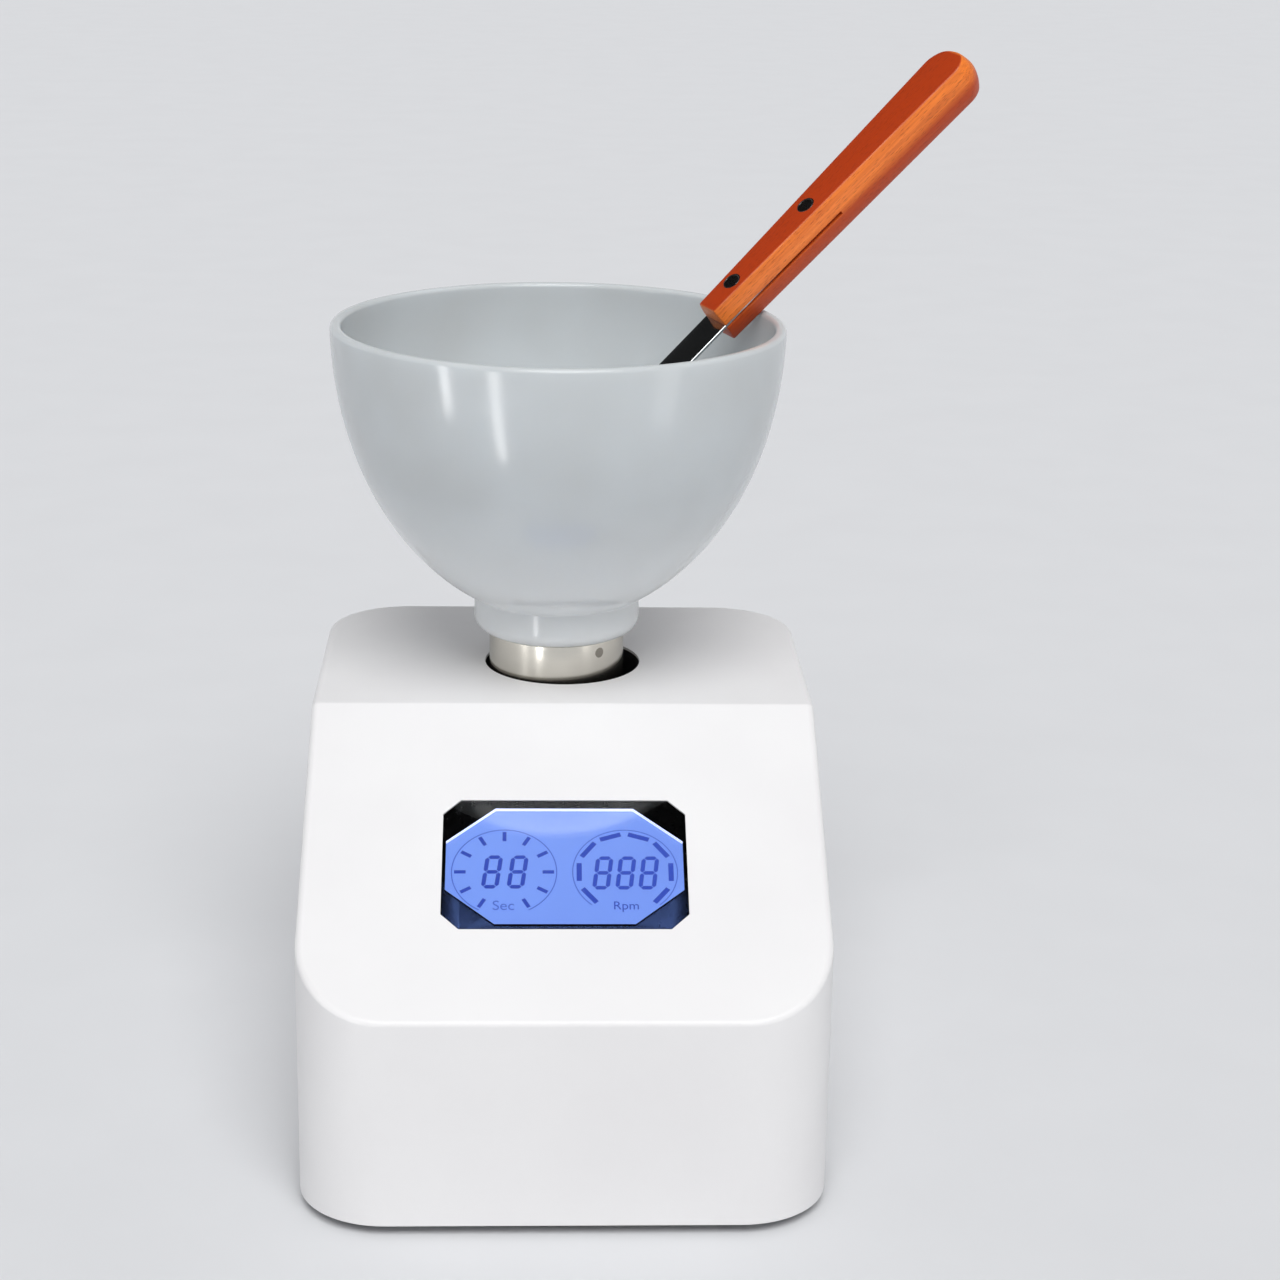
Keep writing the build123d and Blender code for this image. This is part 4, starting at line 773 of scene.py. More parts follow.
class Workshop:
    """The shared trees, and the handling of finished pieces."""

    def __init__(self) -> None:
        """Build each tree once."""
        self.lathe = lathe_tree()
        self.repeat = repeat_tree()
        self.dial = dial_tree()
        self.row = row_tree()
        self.shading = shading_tree()

    def turned(self, name: str, section: Sequence[Point], finish: Finish, steps: int = 96,
               smooth_angle: float = 35.0) -> bpy.types.Object:
        """Turn a half section in millimetres into a closed piece whose faces point outwards."""
        base = mesh_of(name + ".section", [(r, 0.0, z) for r, z in section])
        piece = self.lathe.make(name, base, finish, smooth_angle=smooth_angle, Steps=steps)
        outward(piece.data)
        return piece

    def fit(self, piece: bpy.types.Object, body: str, slot: str, *replaced: str) -> None:
        """Put a piece on the body that it rides, and hide the CAD nodes that it stands for."""
        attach(piece, body)
        if replaced:
            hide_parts(*replaced)
        LOG.info("%s rides %s with %d faces", piece.name, body, len(piece.data.polygons))


def rounded(corners: Sequence[tuple[float, float, float]], steps: int = 6) -> list[Point]:
    """Round the corners of a half section.

    Args:
        corners: Radius, height and rounding of each corner, in order, in millimetres.
        steps: How many pieces each rounding has.

    Returns:
        The section's points.
    """
    points: list[Point] = []
    for i, (r, z, radius) in enumerate(corners):
        here = Vector((r, z))
        if radius <= 0 or i in (0, len(corners) - 1):
            points.append((r, z))
            continue
        back = (Vector(corners[i - 1][:2]) - here).normalized()
        ahead = (Vector(corners[i + 1][:2]) - here).normalized()
        half = back.angle(ahead) / 2
        reach = radius / math.tan(half)
        centre = here + (back + ahead).normalized() * (radius / math.sin(half))
        first, last = here + back * reach - centre, here + ahead * reach - centre
        start, end = math.atan2(first.y, first.x), math.atan2(last.y, last.x)
        sweep = (end - start + math.pi) % (2 * math.pi) - math.pi
        for k in range(steps + 1):
            t = start + sweep * k / steps
            points.append((centre.x + radius * math.cos(t), centre.y + radius * math.sin(t)))
    return points


# ------------------------------------------------------------------------------ the studio
@dataclass
class Studio:
    """Pale floor, plain soft light and a camera at the photograph's angle."""

    floor_half: float = 9.0
    camera_at: Point3 = (-7.871, -765.561, 367.146)
    yaw: float = 0.0425786
    pitch: float = 0.3087203
    roll: float = 0.0172297
    lens_mm: float = 76.4
    sun_towards: Point3 = (0.03, -0.29, 0.45)
    sun_strength: float = 2.08
    sun_angle: float = 40.0
    # for each strip: degrees to the left of the camera, reach, lowest and highest point, in mm
    strips: tuple[tuple[float, float, float, float], ...] = (
        (28.0, 290.0, 4.0, 190.0), (54.0, 450.0, 20.0, 300.0), (-52.0, 420.0, 10.0, 280.0))
    strip_widths_mm: tuple[float, ...] = (24.0, 36.0, 90.0)
    strip_powers: tuple[float, ...] = (0.13, 0.32, 0.12)
    sky_colour: str = "#FBFCFF"
    sky_light: float = 0.44
    sky_seen: float = 0.74
    # what the sky mirrors in, near the floor and from 30 degrees up
    mirrored_low: float = 0.72
    mirrored_high: float = 0.02

    def camera(self) -> None:
        """Set up the camera where the photograph's own camera stood."""
        data = bpy.data.cameras.new("camera")
        data.lens = self.lens_mm
        data.sensor_width = 36.0
        data.clip_start, data.clip_end = 0.01, 100.0
        fwd = Vector((math.sin(self.yaw) * math.cos(self.pitch),
                      math.cos(self.yaw) * math.cos(self.pitch), -math.sin(self.pitch)))
        right = Vector((math.cos(self.yaw), -math.sin(self.yaw), 0.0))
        up = right.cross(fwd)
        side = right * math.cos(self.roll) + up * math.sin(self.roll)
        top = up * math.cos(self.roll) - right * math.sin(self.roll)
        camera = bpy.data.objects.new("camera", data)
        bpy.context.scene.collection.objects.link(camera)
        turn = Matrix((side, top, -fwd)).transposed().to_4x4()
        camera.matrix_world = Matrix.Translation(Vector(self.camera_at) * MM) @ turn
        bpy.context.scene.camera = camera

    def lamp(self, name: str, data: bpy.types.Light, at: Vector, towards: Vector) -> None:
        """Hang a lamp at a place, shining from a direction."""
        lamp = bpy.data.objects.new(name, data)
        bpy.context.scene.collection.objects.link(lamp)
        lamp.matrix_world = Matrix.Translation(at) @ towards.to_track_quat("Z", "Y").to_matrix().to_4x4()

    def lights(self) -> None:
        """One broad soft light from above the front, and three strips that only draw highlights."""
        sun = bpy.data.lights.new("soft_key", "SUN")
        sun.energy = self.sun_strength
        sun.angle = math.radians(self.sun_angle)
        self.lamp("soft_key", sun, Vector((0, 0, 2)), Vector(self.sun_towards))
        aim = Vector(self.camera_at)
        facing = math.atan2(aim.y, aim.x)
        for i, (degrees, reach, low, high) in enumerate(self.strips):
            strip = bpy.data.lights.new(f"strip_{i}", "AREA")
            strip.shape = "RECTANGLE"
            strip.size, strip.size_y = self.strip_widths_mm[i] * MM, (high - low) * MM
            strip.energy = self.strip_powers[i]
            turn = facing - math.radians(degrees)
            out = Vector((math.cos(turn), math.sin(turn), 0.0))
            at = out * reach * MM + Vector((0, 0, (low + high) / 2 * MM))
            self.lamp(f"strip_{i}", strip, at, out)
            lamp = bpy.data.objects[f"strip_{i}"]
            lamp.visible_camera = False
            lamp.visible_diffuse = False

    def world(self) -> None:
        """Soft sky: even for what it lights, and darker overhead for what it mirrors in."""
        world = bpy.data.worlds.new("studio")
        bpy.context.scene.world = world
        world.use_nodes = True
        tree = world.node_tree
        tree.nodes.clear()
        sky = add_node(tree, "ShaderNodeTexCoord").outputs["Generated"]
        height = add_node(tree, "ShaderNodeSeparateXYZ", {0: sky}).outputs["Z"]
        mirrored = add_node(tree, "ShaderNodeMapRange", {
            "Value": height, "From Min": 0.05, "From Max": 0.5, "To Min": self.mirrored_low,
            "To Max": self.mirrored_high})
        path = add_node(tree, "ShaderNodeLightPath")
        soft = add_node(tree, "ShaderNodeMix", {
            0: path.outputs["Is Glossy Ray"], 2: self.sky_light, 3: mirrored.outputs[0]},
            data_type="FLOAT")
        seen = add_node(tree, "ShaderNodeMix", {
            0: path.outputs["Is Camera Ray"], 2: soft.outputs[0], 3: self.sky_seen},
            data_type="FLOAT")
        glow = add_node(tree, "ShaderNodeBackground", {
            "Color": linear(self.sky_colour), "Strength": seen.outputs[0]})
        out = add_node(tree, "ShaderNodeOutputWorld")
        tree.links.new(glow.outputs[0], out.inputs["Surface"])

    def build(self) -> None:
        """Set up camera, lights, sky and floor."""
        bpy.context.scene.view_settings.view_transform = "Standard"
        self.camera()
        self.lights()
        self.world()
        half = self.floor_half
        corners = [(-half, -half, 0), (half, -half, 0), (half, half, 0), (-half, half, 0)]
        floor = new_object("floor", mesh_of("floor", corners, [[0, 1, 2, 3]], scale=1.0))
        FLOOR.put_on(floor)
        LOG.info("studio ready")


# -------------------------------------------------------------------------------- the bowl
@dataclass
class MixingBowl:
    """Flexible bowl on a keyed foot, turned from two quarter ellipses."""

    shop: Workshop
    rim_z: float = 217.8
    holder_top: float = 127.0
    radius: float = 65.0
    depth: float = 86.5
    wall: float = 3.2
    floor: float = 6.5
    lip: float = 1.3
    foot_radius: float = 24.2
    foot_round: float = 4.4
    neck_round: float = 1.5
    stub_radius: float = 17.5
    stub_length: float = 20.0
    key_turn: float = -51.3
    key_half: float = 1.8
    key_floor: float = 12.95
    key_top: float = 123.8

    def section(self) -> list[Point]:
        """The half section, from the middle of the floor inside, over the lip, to the stub."""
        inner_r, inner_d = self.radius - self.wall, self.depth - self.floor
        points = []
        for i in range(61):
            t = math.radians(-90 + 89 * i / 60)
            points.append((inner_r * math.cos(t), self.rim_z + inner_d * math.sin(t)))
        points[0] = (0.0, points[0][1])
        low = self.rim_z - self.lip
        for centre, start in ((inner_r + self.lip, 180), (self.radius - self.lip, 90)):
            for k in range(9):
                t = math.radians(start - 90 * k / 8)
                points.append((centre + self.lip * math.cos(t), low + self.lip * math.sin(t)))
        meet = math.degrees(math.acos(self.foot_radius / self.radius))
        for i in range(1, 61):
            t = math.radians(-1.4 - (meet - 1.4) * i / 60)
            points.append((self.radius * math.cos(t), self.rim_z + self.depth * math.sin(t)))
        top = self.holder_top
        stub = top - self.stub_length
        foot = rounded([
            points[-3] + (0,), points[-1] + (self.neck_round / 2,),
            (self.foot_radius, top, self.foot_round), (self.stub_radius, top, 0.3),
            (self.stub_radius, stub, 1.0), (0.0, stub, 0)], 8)
        return points[:-2] + foot[1:]

    def build(self) -> None:
        """Turn the bowl and cut the two keyways that the holder's pins slide into."""
        bowl = self.shop.turned("bowl_body", self.section(), SILICONE, steps=224, smooth_angle=50)
        parts = []
        for turn in (self.key_turn, self.key_turn + 180):
            way = Matrix.Rotation(math.radians(turn), 3, "Z")
            stub = self.holder_top - self.stub_length
            outline = [(-self.key_half, stub - 2), (self.key_half, stub - 2)]
            outline += [(self.key_half * math.cos(math.radians(a)),
                         self.key_top + self.key_half * math.sin(math.radians(a)))
                        for a in range(0, 181, 15)]
            points, faces = prism(outline, self.key_floor, self.stub_radius + 0.5)
            parts.append(([tuple(way @ Vector((r, y, z))) for y, z, r in points], faces))
        cutter = new_object("keyways", outward(mesh_of("keyways", *merge(parts))))
        cut = bowl.modifiers.new("keyways", "BOOLEAN")
        cut.operation, cut.solver, cut.object = "DIFFERENCE", "EXACT", cutter
        bowl = settle(bowl, "bowl_body.cut", SILICONE.material(), 50)
        bowl.name = "bowl_body"
        bpy.data.objects.remove(cutter)
        self.shop.fit(bowl, "bowl", "grey_silicone", "mixing_bowl")


# ----------------------------------------------------------------------------- the spatula
@dataclass
class Spatula:
    """Round-ended steel blade with a riveted wooden handle, lying on the bowl's lip."""

    shop: Workshop
    origin: Point3 = (46.0067, 14.5343, 215.471)
    along: Point3 = (0.687374, 0.300306, 0.661312)
    square: Point3 = (-0.542705, -0.392749, 0.742442)
    handle_length: float = 109.0
    thickness: float = 12.3
    near_width: float = 11.1
    far_width: float = 17.6
    crown: float = 1.6
    end_round: float = 3.5
    ridge_round: float = 0.5
    slot_length: float = 48.0
    blade_length: float = 101.3
    blade_thickness: float = 1.0
    neck_width: float = 10.6
    neck_length: float = 22.0
    blade_width: float = 21.0
    full_from: float = 52.0
    rivet_radius: float = 2.8
    rivets: tuple[float, ...] = (11.0, 42.5)

    def place(self) -> Matrix:
        """The spatula's own frame: X up the handle, Z square to the blade."""
        x, z = Vector(self.along).normalized(), Vector(self.square).normalized()
        y = z.cross(x)
        turn = Matrix((x, y, z)).transposed().to_4x4()
        return Matrix.Translation(Vector(self.origin) * MM) @ turn

    def outline(self, steps: int = 26) -> list[tuple[Point, Point]]:
        """Half of the handle's plan, as points with their outward directions."""
        end = self.far_width / 2.02
        near = self.near_width / 2
        lean = math.asin((end - near) / (self.handle_length - end)) * 0.9
        centre = self.handle_length - end
        points = []
        stop = Vector((centre + end * math.cos(math.pi / 2 + lean), end * math.sin(math.pi / 2 + lean)))
        start = Vector((0.0, near))
        out = Vector((-(stop - start).y, (stop - start).x)).normalized()
        for i in range(steps):
            points.append((tuple(start.lerp(stop, i / steps)), tuple(out)))
        for i in range(steps + 1):
            t = (math.pi / 2 + lean) * (1 - i / steps)
            points.append(((centre + end * math.cos(t), end * math.sin(t)), (math.cos(t), math.sin(t))))
        return points

    def profile(self) -> list[Point]:
        """The narrow side from top to bottom: how far it is inset, and its height."""
        half = self.thickness / 2
        big = (half ** 2 + self.crown ** 2) / (2 * self.crown)
        small = self.ridge_round

        def inset(z: float) -> float:
            return big - math.sqrt(big ** 2 - z ** 2)

        upper = []
        first, last = Vector((self.crown + small, half)), Vector((inset(half - small), half - small))
        corner = Vector((self.crown, half))
        for k in range(5):
            t = k / 4
            spot = first * (1 - t) ** 2 + corner * 2 * t * (1 - t) + last * t ** 2
            upper.append((spot.x, spot.y))
        for k in range(1, 8):
            z = (half - small) * (1 - k / 8)
            upper.append((inset(z), z))
        return upper + [(0.0, 0.0)] + [(d, -z) for d, z in reversed(upper)]

    def handle(self) -> bpy.types.Object:
        """The wooden handle, with the slot that the blade's tang sits in."""
        half_plan = self.outline()
        plan = half_plan + [((x, -y), (a, -b)) for (x, y), (a, b) in reversed(half_plan[:-1])]
        rows = self.profile()
        length, soft = self.handle_length, self.end_round
        half = self.thickness / 2
        points: list[Point3] = []
        for (x, y), (a, b) in plan:
            for inset, z in rows:
                px, py = x - a * inset, y - b * inset
                past = max(0.0, px - (length - soft))
                flat = (half - soft + math.sqrt(max(0.0, soft ** 2 - past ** 2))) / half
                points.append((px, py, z * flat))
        columns, deep = len(plan), len(rows)
        faces = []
        for i in range(columns - 1):
            for k in range(deep - 1):
                a = i * deep + k
                faces.append([a, a + 1, a + deep + 1, a + deep])
        for i in range(columns // 2):
            j = columns - 1 - i
            for k in (0, deep - 1):
                ring = [i * deep + k, (i + 1) * deep + k, (j - 1) * deep + k, j * deep + k]
                faces.append(ring if len(set(ring)) == 4 else ring[:2] + ring[3:])
        faces.append([k for k in range(deep)] + [(columns - 1) * deep + k for k in reversed(range(deep))])
        wood = new_object("handle", outward(mesh_of("handle", points, faces)))
        soften = wood.modifiers.new("end", "BEVEL")
        soften.width, soften.segments = 0.6 * MM, 2
        soften.limit_method, soften.angle_limit = "ANGLE", math.radians(60)
        slot_points, slot_faces = prism(
            [(-2, -20), (self.slot_length, -20), (self.slot_length, 20), (-2, 20)],
            -self.blade_thickness / 2 - 0.05, self.blade_thickness / 2 + 0.05)
        cutter = new_object("slot", outward(mesh_of("slot", slot_points, slot_faces)))
        cut = wood.modifiers.new("slot", "BOOLEAN")
        cut.operation, cut.solver, cut.object = "DIFFERENCE", "EXACT", cutter
        place = self.place()
        finish = VarnishedWood(
            "varnished_reddish_hardwood", "#FF8A34", 0.4, origin=tuple(place.translation),
            turn=tuple(place.to_euler()))
        wood = settle(wood, "handle_wood", finish.material(), 32)
        bpy.data.objects.remove(cutter)
        wood.data.transform(place)
        return wood

    def blade(self) -> bpy.types.Object:
        """The blade and its tang, ground to a thin edge all round."""
        neck, wide = self.neck_width / 2, self.blade_width / 2
        upper = [(self.slot_length, neck)]
        mid = -(self.neck_length + self.full_from) / 2
        for k in range(25):
            t = k / 24
            x = (-self.neck_length * (1 - t) ** 3 + 3 * mid * t * (1 - t) ** 2
                 + 3 * mid * t ** 2 * (1 - t) - self.full_from * t ** 3)
            upper.append((x, neck * ((1 - t) ** 3 + 3 * t * (1 - t) ** 2)
                          + wide * (3 * t ** 2 * (1 - t) + t ** 3)))
        middle = wide - self.blade_length
        for k in range(25):
            t = math.pi / 2 * (1 + k / 24)
            upper.append((middle + wide * math.cos(t), wide * math.sin(t)))
        outline = upper + [(x, -y) for x, y in reversed(upper[:-1])]
        half = self.blade_thickness / 2
        steel = new_object("blade", outward(mesh_of("blade", *prism(outline, -half, half))))
        edge = steel.modifiers.new("edge", "BEVEL")
        edge.width, edge.segments = 0.28 * MM, 3
        edge.limit_method, edge.angle_limit = "ANGLE", math.radians(50)
        steel = settle(steel, "blade_steel", BLADE_STEEL.material(), 25)
        steel.data.transform(self.place())
        return steel

    def rivet(self) -> list[Point]:
        """A rivet's half section: a burnished middle inside a bright raised rim, both ends."""
        half, r = self.thickness / 2, self.rivet_radius
        end = [(0.0, half + 0.03, 0), (r - 0.6, half + 0.03, 0.1), (r - 0.4, half + 0.16, 0.08),
               (r - 0.05, half + 0.1, 0.1), (r, half - 0.4, 0)]
        top = rounded(end, 4)
        return top + [(a, -b) for a, b in reversed(top)]

    def build(self) -> None:
        """Make handle, blade and the two rivets through both."""
        self.shop.fit(self.handle(), "spatula", "brown_wood", "spatula_handle")
        self.shop.fit(self.blade(), "spatula", "polished_steel", "spatula_blade")
        part = self.shop.turned("rivet_part", self.rivet(), RIVET_STEEL, steps=40)
        points = mesh_of("rivets", [(x, 0.0, 0.0) for x in self.rivets])
        rivets = self.shop.repeat.make("rivets", points, RIVET_STEEL, self.place(), Part=part, Spin=3.0)
        bpy.data.objects.remove(part)
        self.shop.fit(rivets, "spatula", "polished_steel", "spatula_rivets")


# ----------------------------------------------------------------------------- the display
class Unit(Enum):
    """The plain unit word under each dial."""

    SECONDS = "Sec"
    TURNS = "Rpm"


@dataclass
class Display:
    """Black-bordered window in the slope, over a backlit blue cell with two dials."""

    shop: Workshop
    middle: Point3 = (1.8, -87.705, 87.6084)
    slope: float = 0.5399403
    cell_top: float = -3.6
    mark: float = 0.06
    window: Point = (66.0, 43.1)
    window_cut: float = 4.8
    gap: float = 0.15
    view: Point = (64.2, 38.6)
    view_rise: float = 0.6
    view_cut: Point = (13.3, 11.2)
    dial_x: float = 16.3
    dial_y: float = -0.9
    ring: float = 14.0
    ring_line: float = 0.3
    digit_height: float = 11.0

    def place(self, x: float = 0.0, y: float = 0.0, z: float = 0.0) -> Matrix:
        """The slope's frame, moved in its own directions, in millimetres."""
        s, c = math.sin(self.slope), math.cos(self.slope)
        turn = Matrix(((1, 0, 0), (0, c, -s), (0, s, c))).to_4x4()
        move = Matrix.Translation(Vector((x, y, z)) * MM)
        return Matrix.Translation(Vector(self.middle) * MM) @ turn @ move

    def gasket(self) -> bpy.types.Object:
        """Black seal that fills the gap round the window."""
        w, h = self.window
        outer = octagon(w - 0.02, h - 0.02, self.window_cut, self.window_cut)
        inner = octagon(w - 2 * self.gap + 0.02, h - 2 * self.gap + 0.02,
                        self.window_cut, self.window_cut)
        mesh = outward(mesh_of("window_gasket", *prism(outer, -2.58, -0.42, inner)))
        mesh.transform(self.place())
        piece = new_object("window_gasket", mesh)
        BLACK_PRINT.put_on(piece)
        return piece

    def edge_light(self) -> bpy.types.Object:
        """The bright line where the cell's light catches the upper edges of the mask."""
        x, y = self.view[0] / 2, self.view[1] / 2
        cx, cy = self.view_cut
        path = [(-x, y - cy), (cx - x, y), (x - cx, y), (x, y - cy)]
        inner = [(-x + 0.12, y - cy - 0.05), (cx - x + 0.04, y - 0.12),
                 (x - cx - 0.04, y - 0.12), (x - 0.12, y - cy - 0.05)]
        points, faces = prism(path + inner[::-1], self.cell_top + 0.01, self.cell_top + 0.97)
        mesh = mesh_of("cell_edge_light", points, faces)
        mesh.transform(self.place(0.0, self.view_rise))
        piece = new_object("cell_edge_light", outward(mesh))
        EDGE_LIGHT.put_on(piece)
        return piece

    def bars(self, name: str, angles: Sequence[float], radius: float, size: Point,
             x: float) -> bpy.types.Object:
        """Bars round a dial, each at an angle clockwise from its top."""
        spots = [(radius * math.sin(math.radians(a)), radius * math.cos(math.radians(a)), 0.0)
                 for a in angles]
        place = self.place(x, self.dial_y, self.cell_top + self.mark)
        return self.shop.dial.make(
            name, mesh_of(name + ".points", spots), DARK_CRYSTAL, place,
            Length=size[0] * MM, Width=size[1] * MM, Height=self.mark * MM)

    def rings(self) -> bpy.types.Object:
        """The thin line round each dial, open at the bottom."""
        parts = []
        for x, reach in ((-self.dial_x, 152), (self.dial_x, 140)):
            turns = [math.radians(a) for a in range(-reach, reach + 1, 4)]
            inner = [(x + self.ring * math.sin(t), self.dial_y + self.ring * math.cos(t)) for t in turns]
            far = self.ring + self.ring_line
            outer = [(x + far * math.sin(t), self.dial_y + far * math.cos(t)) for t in turns]
            low = self.cell_top + self.mark / 2
            for i in range(len(turns) - 1):
                quad = [inner[i], inner[i + 1], outer[i + 1], outer[i]]
                parts.append(prism(quad, low, low + self.mark / 2))
        mesh = outward(mesh_of("dial_rings", *merge(parts)))
        mesh.transform(self.place())
        piece = new_object("dial_rings", mesh)
        FAINT_CRYSTAL.put_on(piece)
        return piece

    def figure(self) -> bpy.types.Mesh:
        """One figure with all seven of its segments lit, leaning to the right."""
        high = self.digit_height
        wide, thick, gap = high * 0.43, 1.15, 0.14
        y = (high - thick) / 2
        x = (wide - thick) / 2

        def segment(ax: float, ay: float, bx: float, by: float) -> list[Point]:
            start, end = Vector((ax, ay)), Vector((bx, by))
            step = (end - start).normalized()
            start, end = start + step * gap, end - step * gap
            side = Vector((-step.y, step.x)) * thick / 2
            tip = step * thick / 2
            return [tuple(p) for p in (start, start + tip - side, end - tip - side, end,
                                       end - tip + side, start + tip + side)]

        strokes = [(-x, y, x, y), (-x, 0, x, 0), (-x, -y, x, -y), (-x, 0, -x, y), (x, 0, x, y),
                   (-x, -y, -x, 0), (x, -y, x, 0)]
        lean = 0.12
        parts = []
        for stroke in strokes:
            outline = [(a + lean * b, b) for a, b in segment(*stroke)]
            parts.append(prism(outline, 0.0, self.mark))
        return outward(mesh_of("figure", *merge(parts)))

    def figures(self, name: str, count: int, pitch: float, x: float, y: float) -> bpy.types.Object:
        """A row of figures whose middle is at a place on the cell."""
        part = new_object("figure_part", self.figure())
        first = x - pitch * (count - 1) / 2
        place = self.place(first, y, self.cell_top + self.mark / 2)
        row = self.shop.row.make(name, mesh_of(name + ".start", [(0, 0, 0)]), DARK_CRYSTAL, place,
                                 Part=part, Count=count, Pitch=pitch * MM)
        bpy.data.objects.remove(part)
        return row

    def word(self, unit: Unit, x: float, y: float, size: float,
             finish: Finish) -> bpy.types.Object:
        """A dial's unit word, made a mesh before it is placed."""
        text = bpy.data.curves.new("word", "FONT")
        text.body, text.size, text.extrude = unit.value, size * MM, self.mark * MM / 4
        text.align_x, text.align_y = "CENTER", "CENTER"
        source = bpy.data.objects.new("word", text)
        bpy.context.scene.collection.objects.link(source)
        name = f"unit_{unit.name.lower()}"
        piece = settle(source, name, finish.material(), None)
        outward(piece.data)
        piece.data.transform(self.place(x, y, self.cell_top + self.mark * 0.75))
        return piece

    def build(self) -> None:
        """Make every mark on the cell, the seal and the light at the cell's edge."""
        ticks = self.bars("seconds_ticks", range(-150, 151, 30), self.ring * 0.85, (3.1, 1.05),
                          -self.dial_x)
        dashes = self.bars("speed_dashes", (-129, -90, -53, -18, 18, 53, 90, 129), self.ring * 0.885,
                           (1.4, 5.9), self.dial_x)
        pieces = [
            ticks, dashes, self.rings(), self.edge_light(),
            self.figures("seconds_figures", 2, 6.9, -16.1, -0.9),
            self.figures("speed_figures", 3, 6.2, 16.5, -1.2),
            self.word(Unit.SECONDS, -16.4, -12.1, 4.4, FAINT_CRYSTAL),
            self.word(Unit.TURNS, 16.4, -12.1, 3.8, DARK_CRYSTAL),
        ]
        for piece in pieces:
            self.shop.fit(piece, "base", "blue_lcd")
        self.shop.fit(self.gasket(), "base", "black_gloss_plastic")


# ------------------------------------------------------------------------ feet and screws
@dataclass
class Underside:
    """Rubber feet and the screws of the base plate, each on its four places."""

    shop: Workshop
    middle_x: float = 1.8
    middle_y: float = -38.1
    half: Point = (71.0, 93.5)
    foot_inset: Point = (25.0, 26.0)
    screw_inset: Point = (13.0, 16.0)
    foot_radius: float = 8.0
    foot_height: float = 3.0
    screw_radius: float = 1.6
    screw_length: float = 12.0

    def places(self, inset: Point, z: float) -> list[Point3]:
        """The four places at a distance from the case's sides and ends."""
        return [(self.middle_x + sx * (self.half[0] - inset[0]),
                 self.middle_y + sy * (self.half[1] - inset[1]), z)
                for sx in (-1, 1) for sy in (-1, 1)]

    def foot(self) -> list[Point]:
        """A foot's half section: a rounded pad with a barbed stem through the plate."""
        high = self.foot_height
        return rounded([
            (0.0, 0.0, 0), (self.foot_radius - 0.6, 0.0, 0.5), (self.foot_radius, high, 0.5),
            (2.5, high, 0), (2.5, high + 2, 0), (3.5, high + 2, 0.3), (2.6, high + 4, 0.4),
            (0.0, high + 4, 0)], 5)

    def screw(self) -> bpy.types.Object:
        """A pan-head screw, upside down, with a cross cut in its head."""
        r = self.screw_radius
        head = r * 1.9
        section = rounded([
            (0.0, -2.0, 0), (head * 0.62, -1.9, 0.8), (head, -0.9, 0.7), (head, 0.0, 0.2), (r, 0.0, 0),
            (r, self.screw_length - 1.5, 0), (0.4, self.screw_length, 0), (0.0, self.screw_length, 0)], 5)
        body = self.shop.turned("screw_part", section, SCREW_STEEL, steps=32)
        arms = [prism([(-a, -b), (a, -b), (a, b), (-a, b)], -3.0, -0.9)
                for a, b in ((head * 0.62, 0.33), (0.33, head * 0.62))]
        cutter = new_object("cross", outward(mesh_of("cross", *merge(arms))))
        cut = body.modifiers.new("cross", "BOOLEAN")
        cut.operation, cut.solver, cut.use_self, cut.object = "DIFFERENCE", "EXACT", True, cutter
        body = settle(body, "screw_cut", SCREW_STEEL.material(), 35)
        bpy.data.objects.remove(cutter)
        return body

    def build(self) -> None:
        """Put feet and screws on their places."""
        foot = self.shop.turned("foot_part", self.foot(), RUBBER, steps=56)
        feet = self.shop.repeat.make(
            "feet", mesh_of("feet", self.places(self.foot_inset, 0.0)), RUBBER, Part=foot, Spin=0.0)
        bpy.data.objects.remove(foot)
        self.shop.fit(feet, "base", "black_rubber", "rubber_feet")
        screw = self.screw()
        screws = self.shop.repeat.make(
            "case_screws", mesh_of("screws", self.places(self.screw_inset, self.foot_height)),
            SCREW_STEEL, Part=screw, Spin=1.5)
        bpy.data.objects.remove(screw)
        self.shop.fit(screws, "base", "screw_steel", "base_screws")


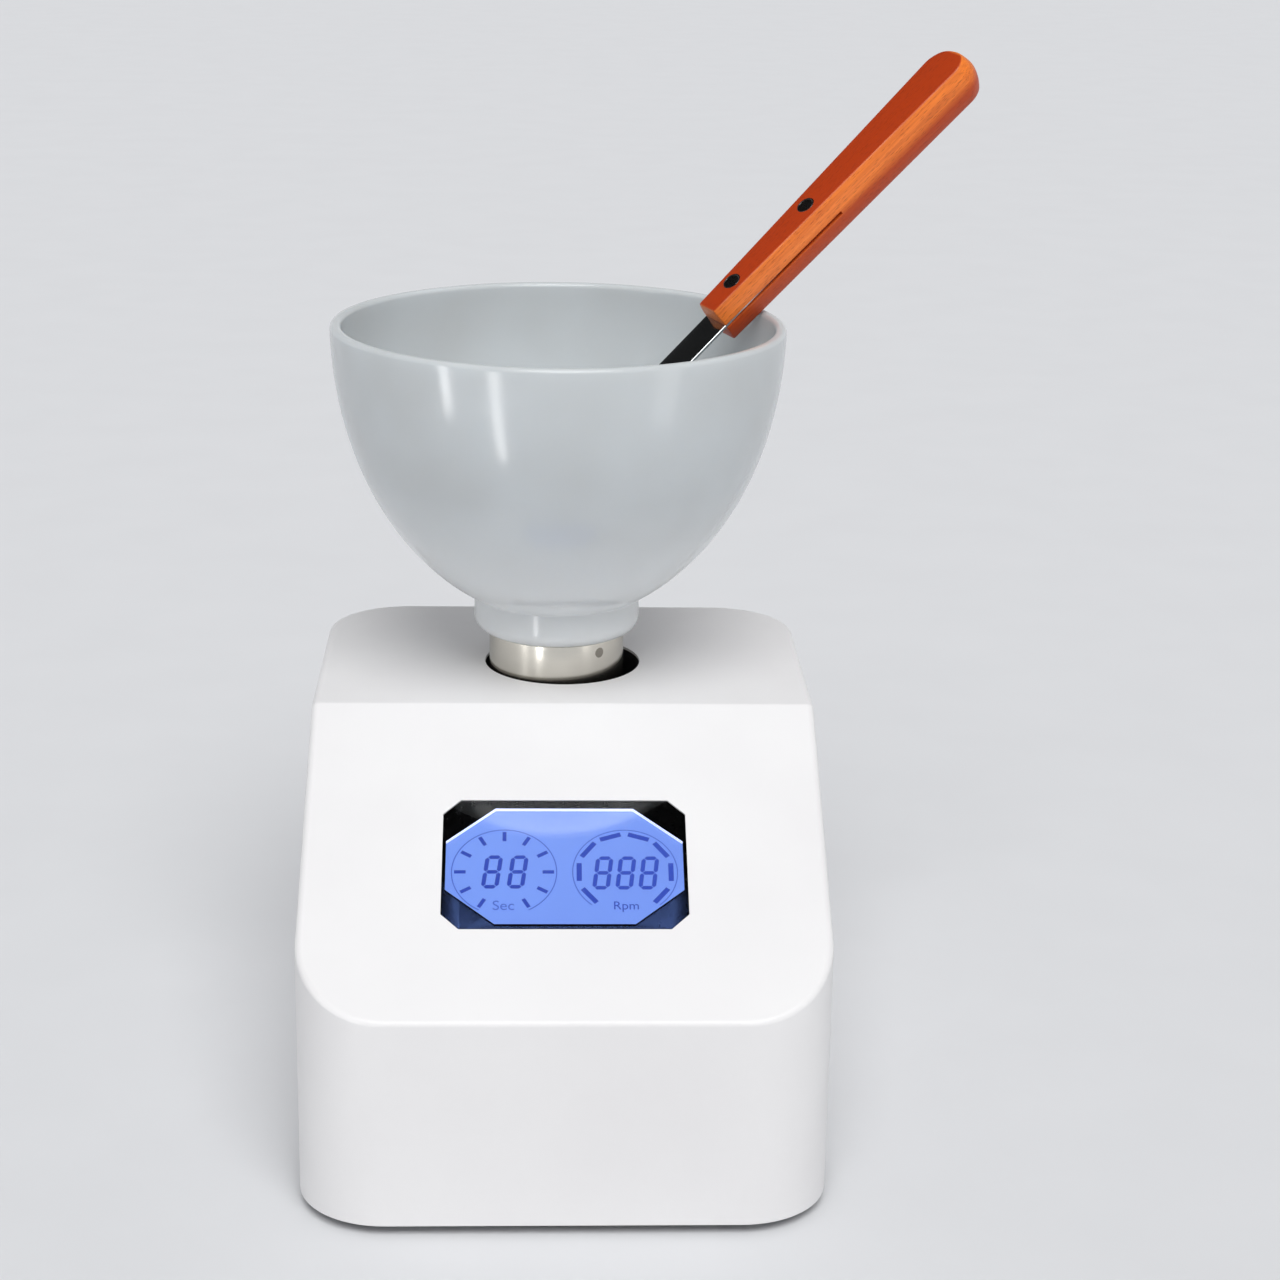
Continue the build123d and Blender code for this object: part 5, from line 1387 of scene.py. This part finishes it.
# ----------------------------------------------------------------------------- rear switch
@dataclass
class SwitchMarks:
    """The plain line and ring for on and off, printed on the rocker's two faces."""

    shop: Workshop
    switch_x: float = -19.0
    switch_z: float = 72.0
    reach: float = 4.0
    line: float = 0.55

    def spot(self, tree: BVHTree, z: float) -> Matrix:
        """Where a mark lies on the rocker, found by looking straight at the rear face."""
        hit, normal, _, _ = tree.ray_cast(Vector((self.switch_x, 200.0, z)) * MM, Vector((0, -1, 0)))
        side = Vector((-1.0, 0.0, 0.0))
        up = normal.cross(side).normalized()
        return Matrix.Translation(hit) @ Matrix((side, up, normal)).transposed().to_4x4()

    def build(self) -> None:
        """Print the line on the pressed half and the ring on the raised one."""
        rocker = frame["nodes"]["power_switch_rocker"].data
        tree = BVHTree.FromPolygons([v.co for v in rocker.vertices],
                                    [p.vertices for p in rocker.polygons])
        turns = [math.radians(a) for a in range(0, 360, 15)]
        ring = [(1.55 * math.cos(t), 1.55 * math.sin(t)) for t in turns]
        hole = [(1.0 * math.cos(t), 1.0 * math.sin(t)) for t in turns]
        half = self.line / 2
        bar = [(-half, -1.6), (half, -1.6), (half, 1.6), (-half, 1.6)]
        for name, lift, shape in (("mark_on", self.reach, prism(bar, -0.02, 0.02)),
                                  ("mark_off", -self.reach, prism(ring, -0.02, 0.02, hole))):
            mesh = outward(mesh_of(name, *shape))
            mesh.transform(self.spot(tree, self.switch_z + lift))
            piece = new_object(name, mesh)
            WHITE_PLASTIC.put_on(piece)
            self.shop.fit(piece, "switch_rocker", "white_plastic")


# ------------------------------------------------------------------------ carried-over CAD
@dataclass
class CarriedNodes:
    """The CAD nodes whose shape is right as it is: they get a finish and smooth shading."""

    shop: Workshop
    special: dict[str, Finish] = field(default_factory=lambda: {
        "display_bezel": BLACK_PRINT, "drive_pins": PIN_STEEL})
    heavy: tuple[str, ...] = ("case_shell",)

    def build(self) -> None:
        """Dress every node after the slot that the record gives it."""
        slots = {row["node"]: row["material_slot"] for row in frame["record"]["subparts"]}
        for name, piece in frame["nodes"].items():
            finish = self.special.get(name) or SLOT_FINISH.get(slots[name])
            if finish is None:
                LOG.info("%s is replaced, so it keeps a plain finish", name)
                finish = BELT
            finish.put_on(piece)
            smooth = piece.modifiers.new("smooth", "NODES")
            smooth.node_group = self.shop.shading
            if name in self.heavy:
                even = piece.modifiers.new("even", "WEIGHTED_NORMAL")
                even.keep_sharp = True
        LOG.info("dressed %d carried-over nodes", len(frame["nodes"]))


def main() -> None:
    """Build the mixer's looks and the studio round it."""
    logging.basicConfig(level=logging.INFO, format="%(message)s")
    shop = Workshop()
    Studio().build()
    CarriedNodes(shop).build()
    MixingBowl(shop).build()
    Spatula(shop).build()
    Display(shop).build()
    Underside(shop).build()
    SwitchMarks(shop).build()


if __name__ == "__main__":
    main()
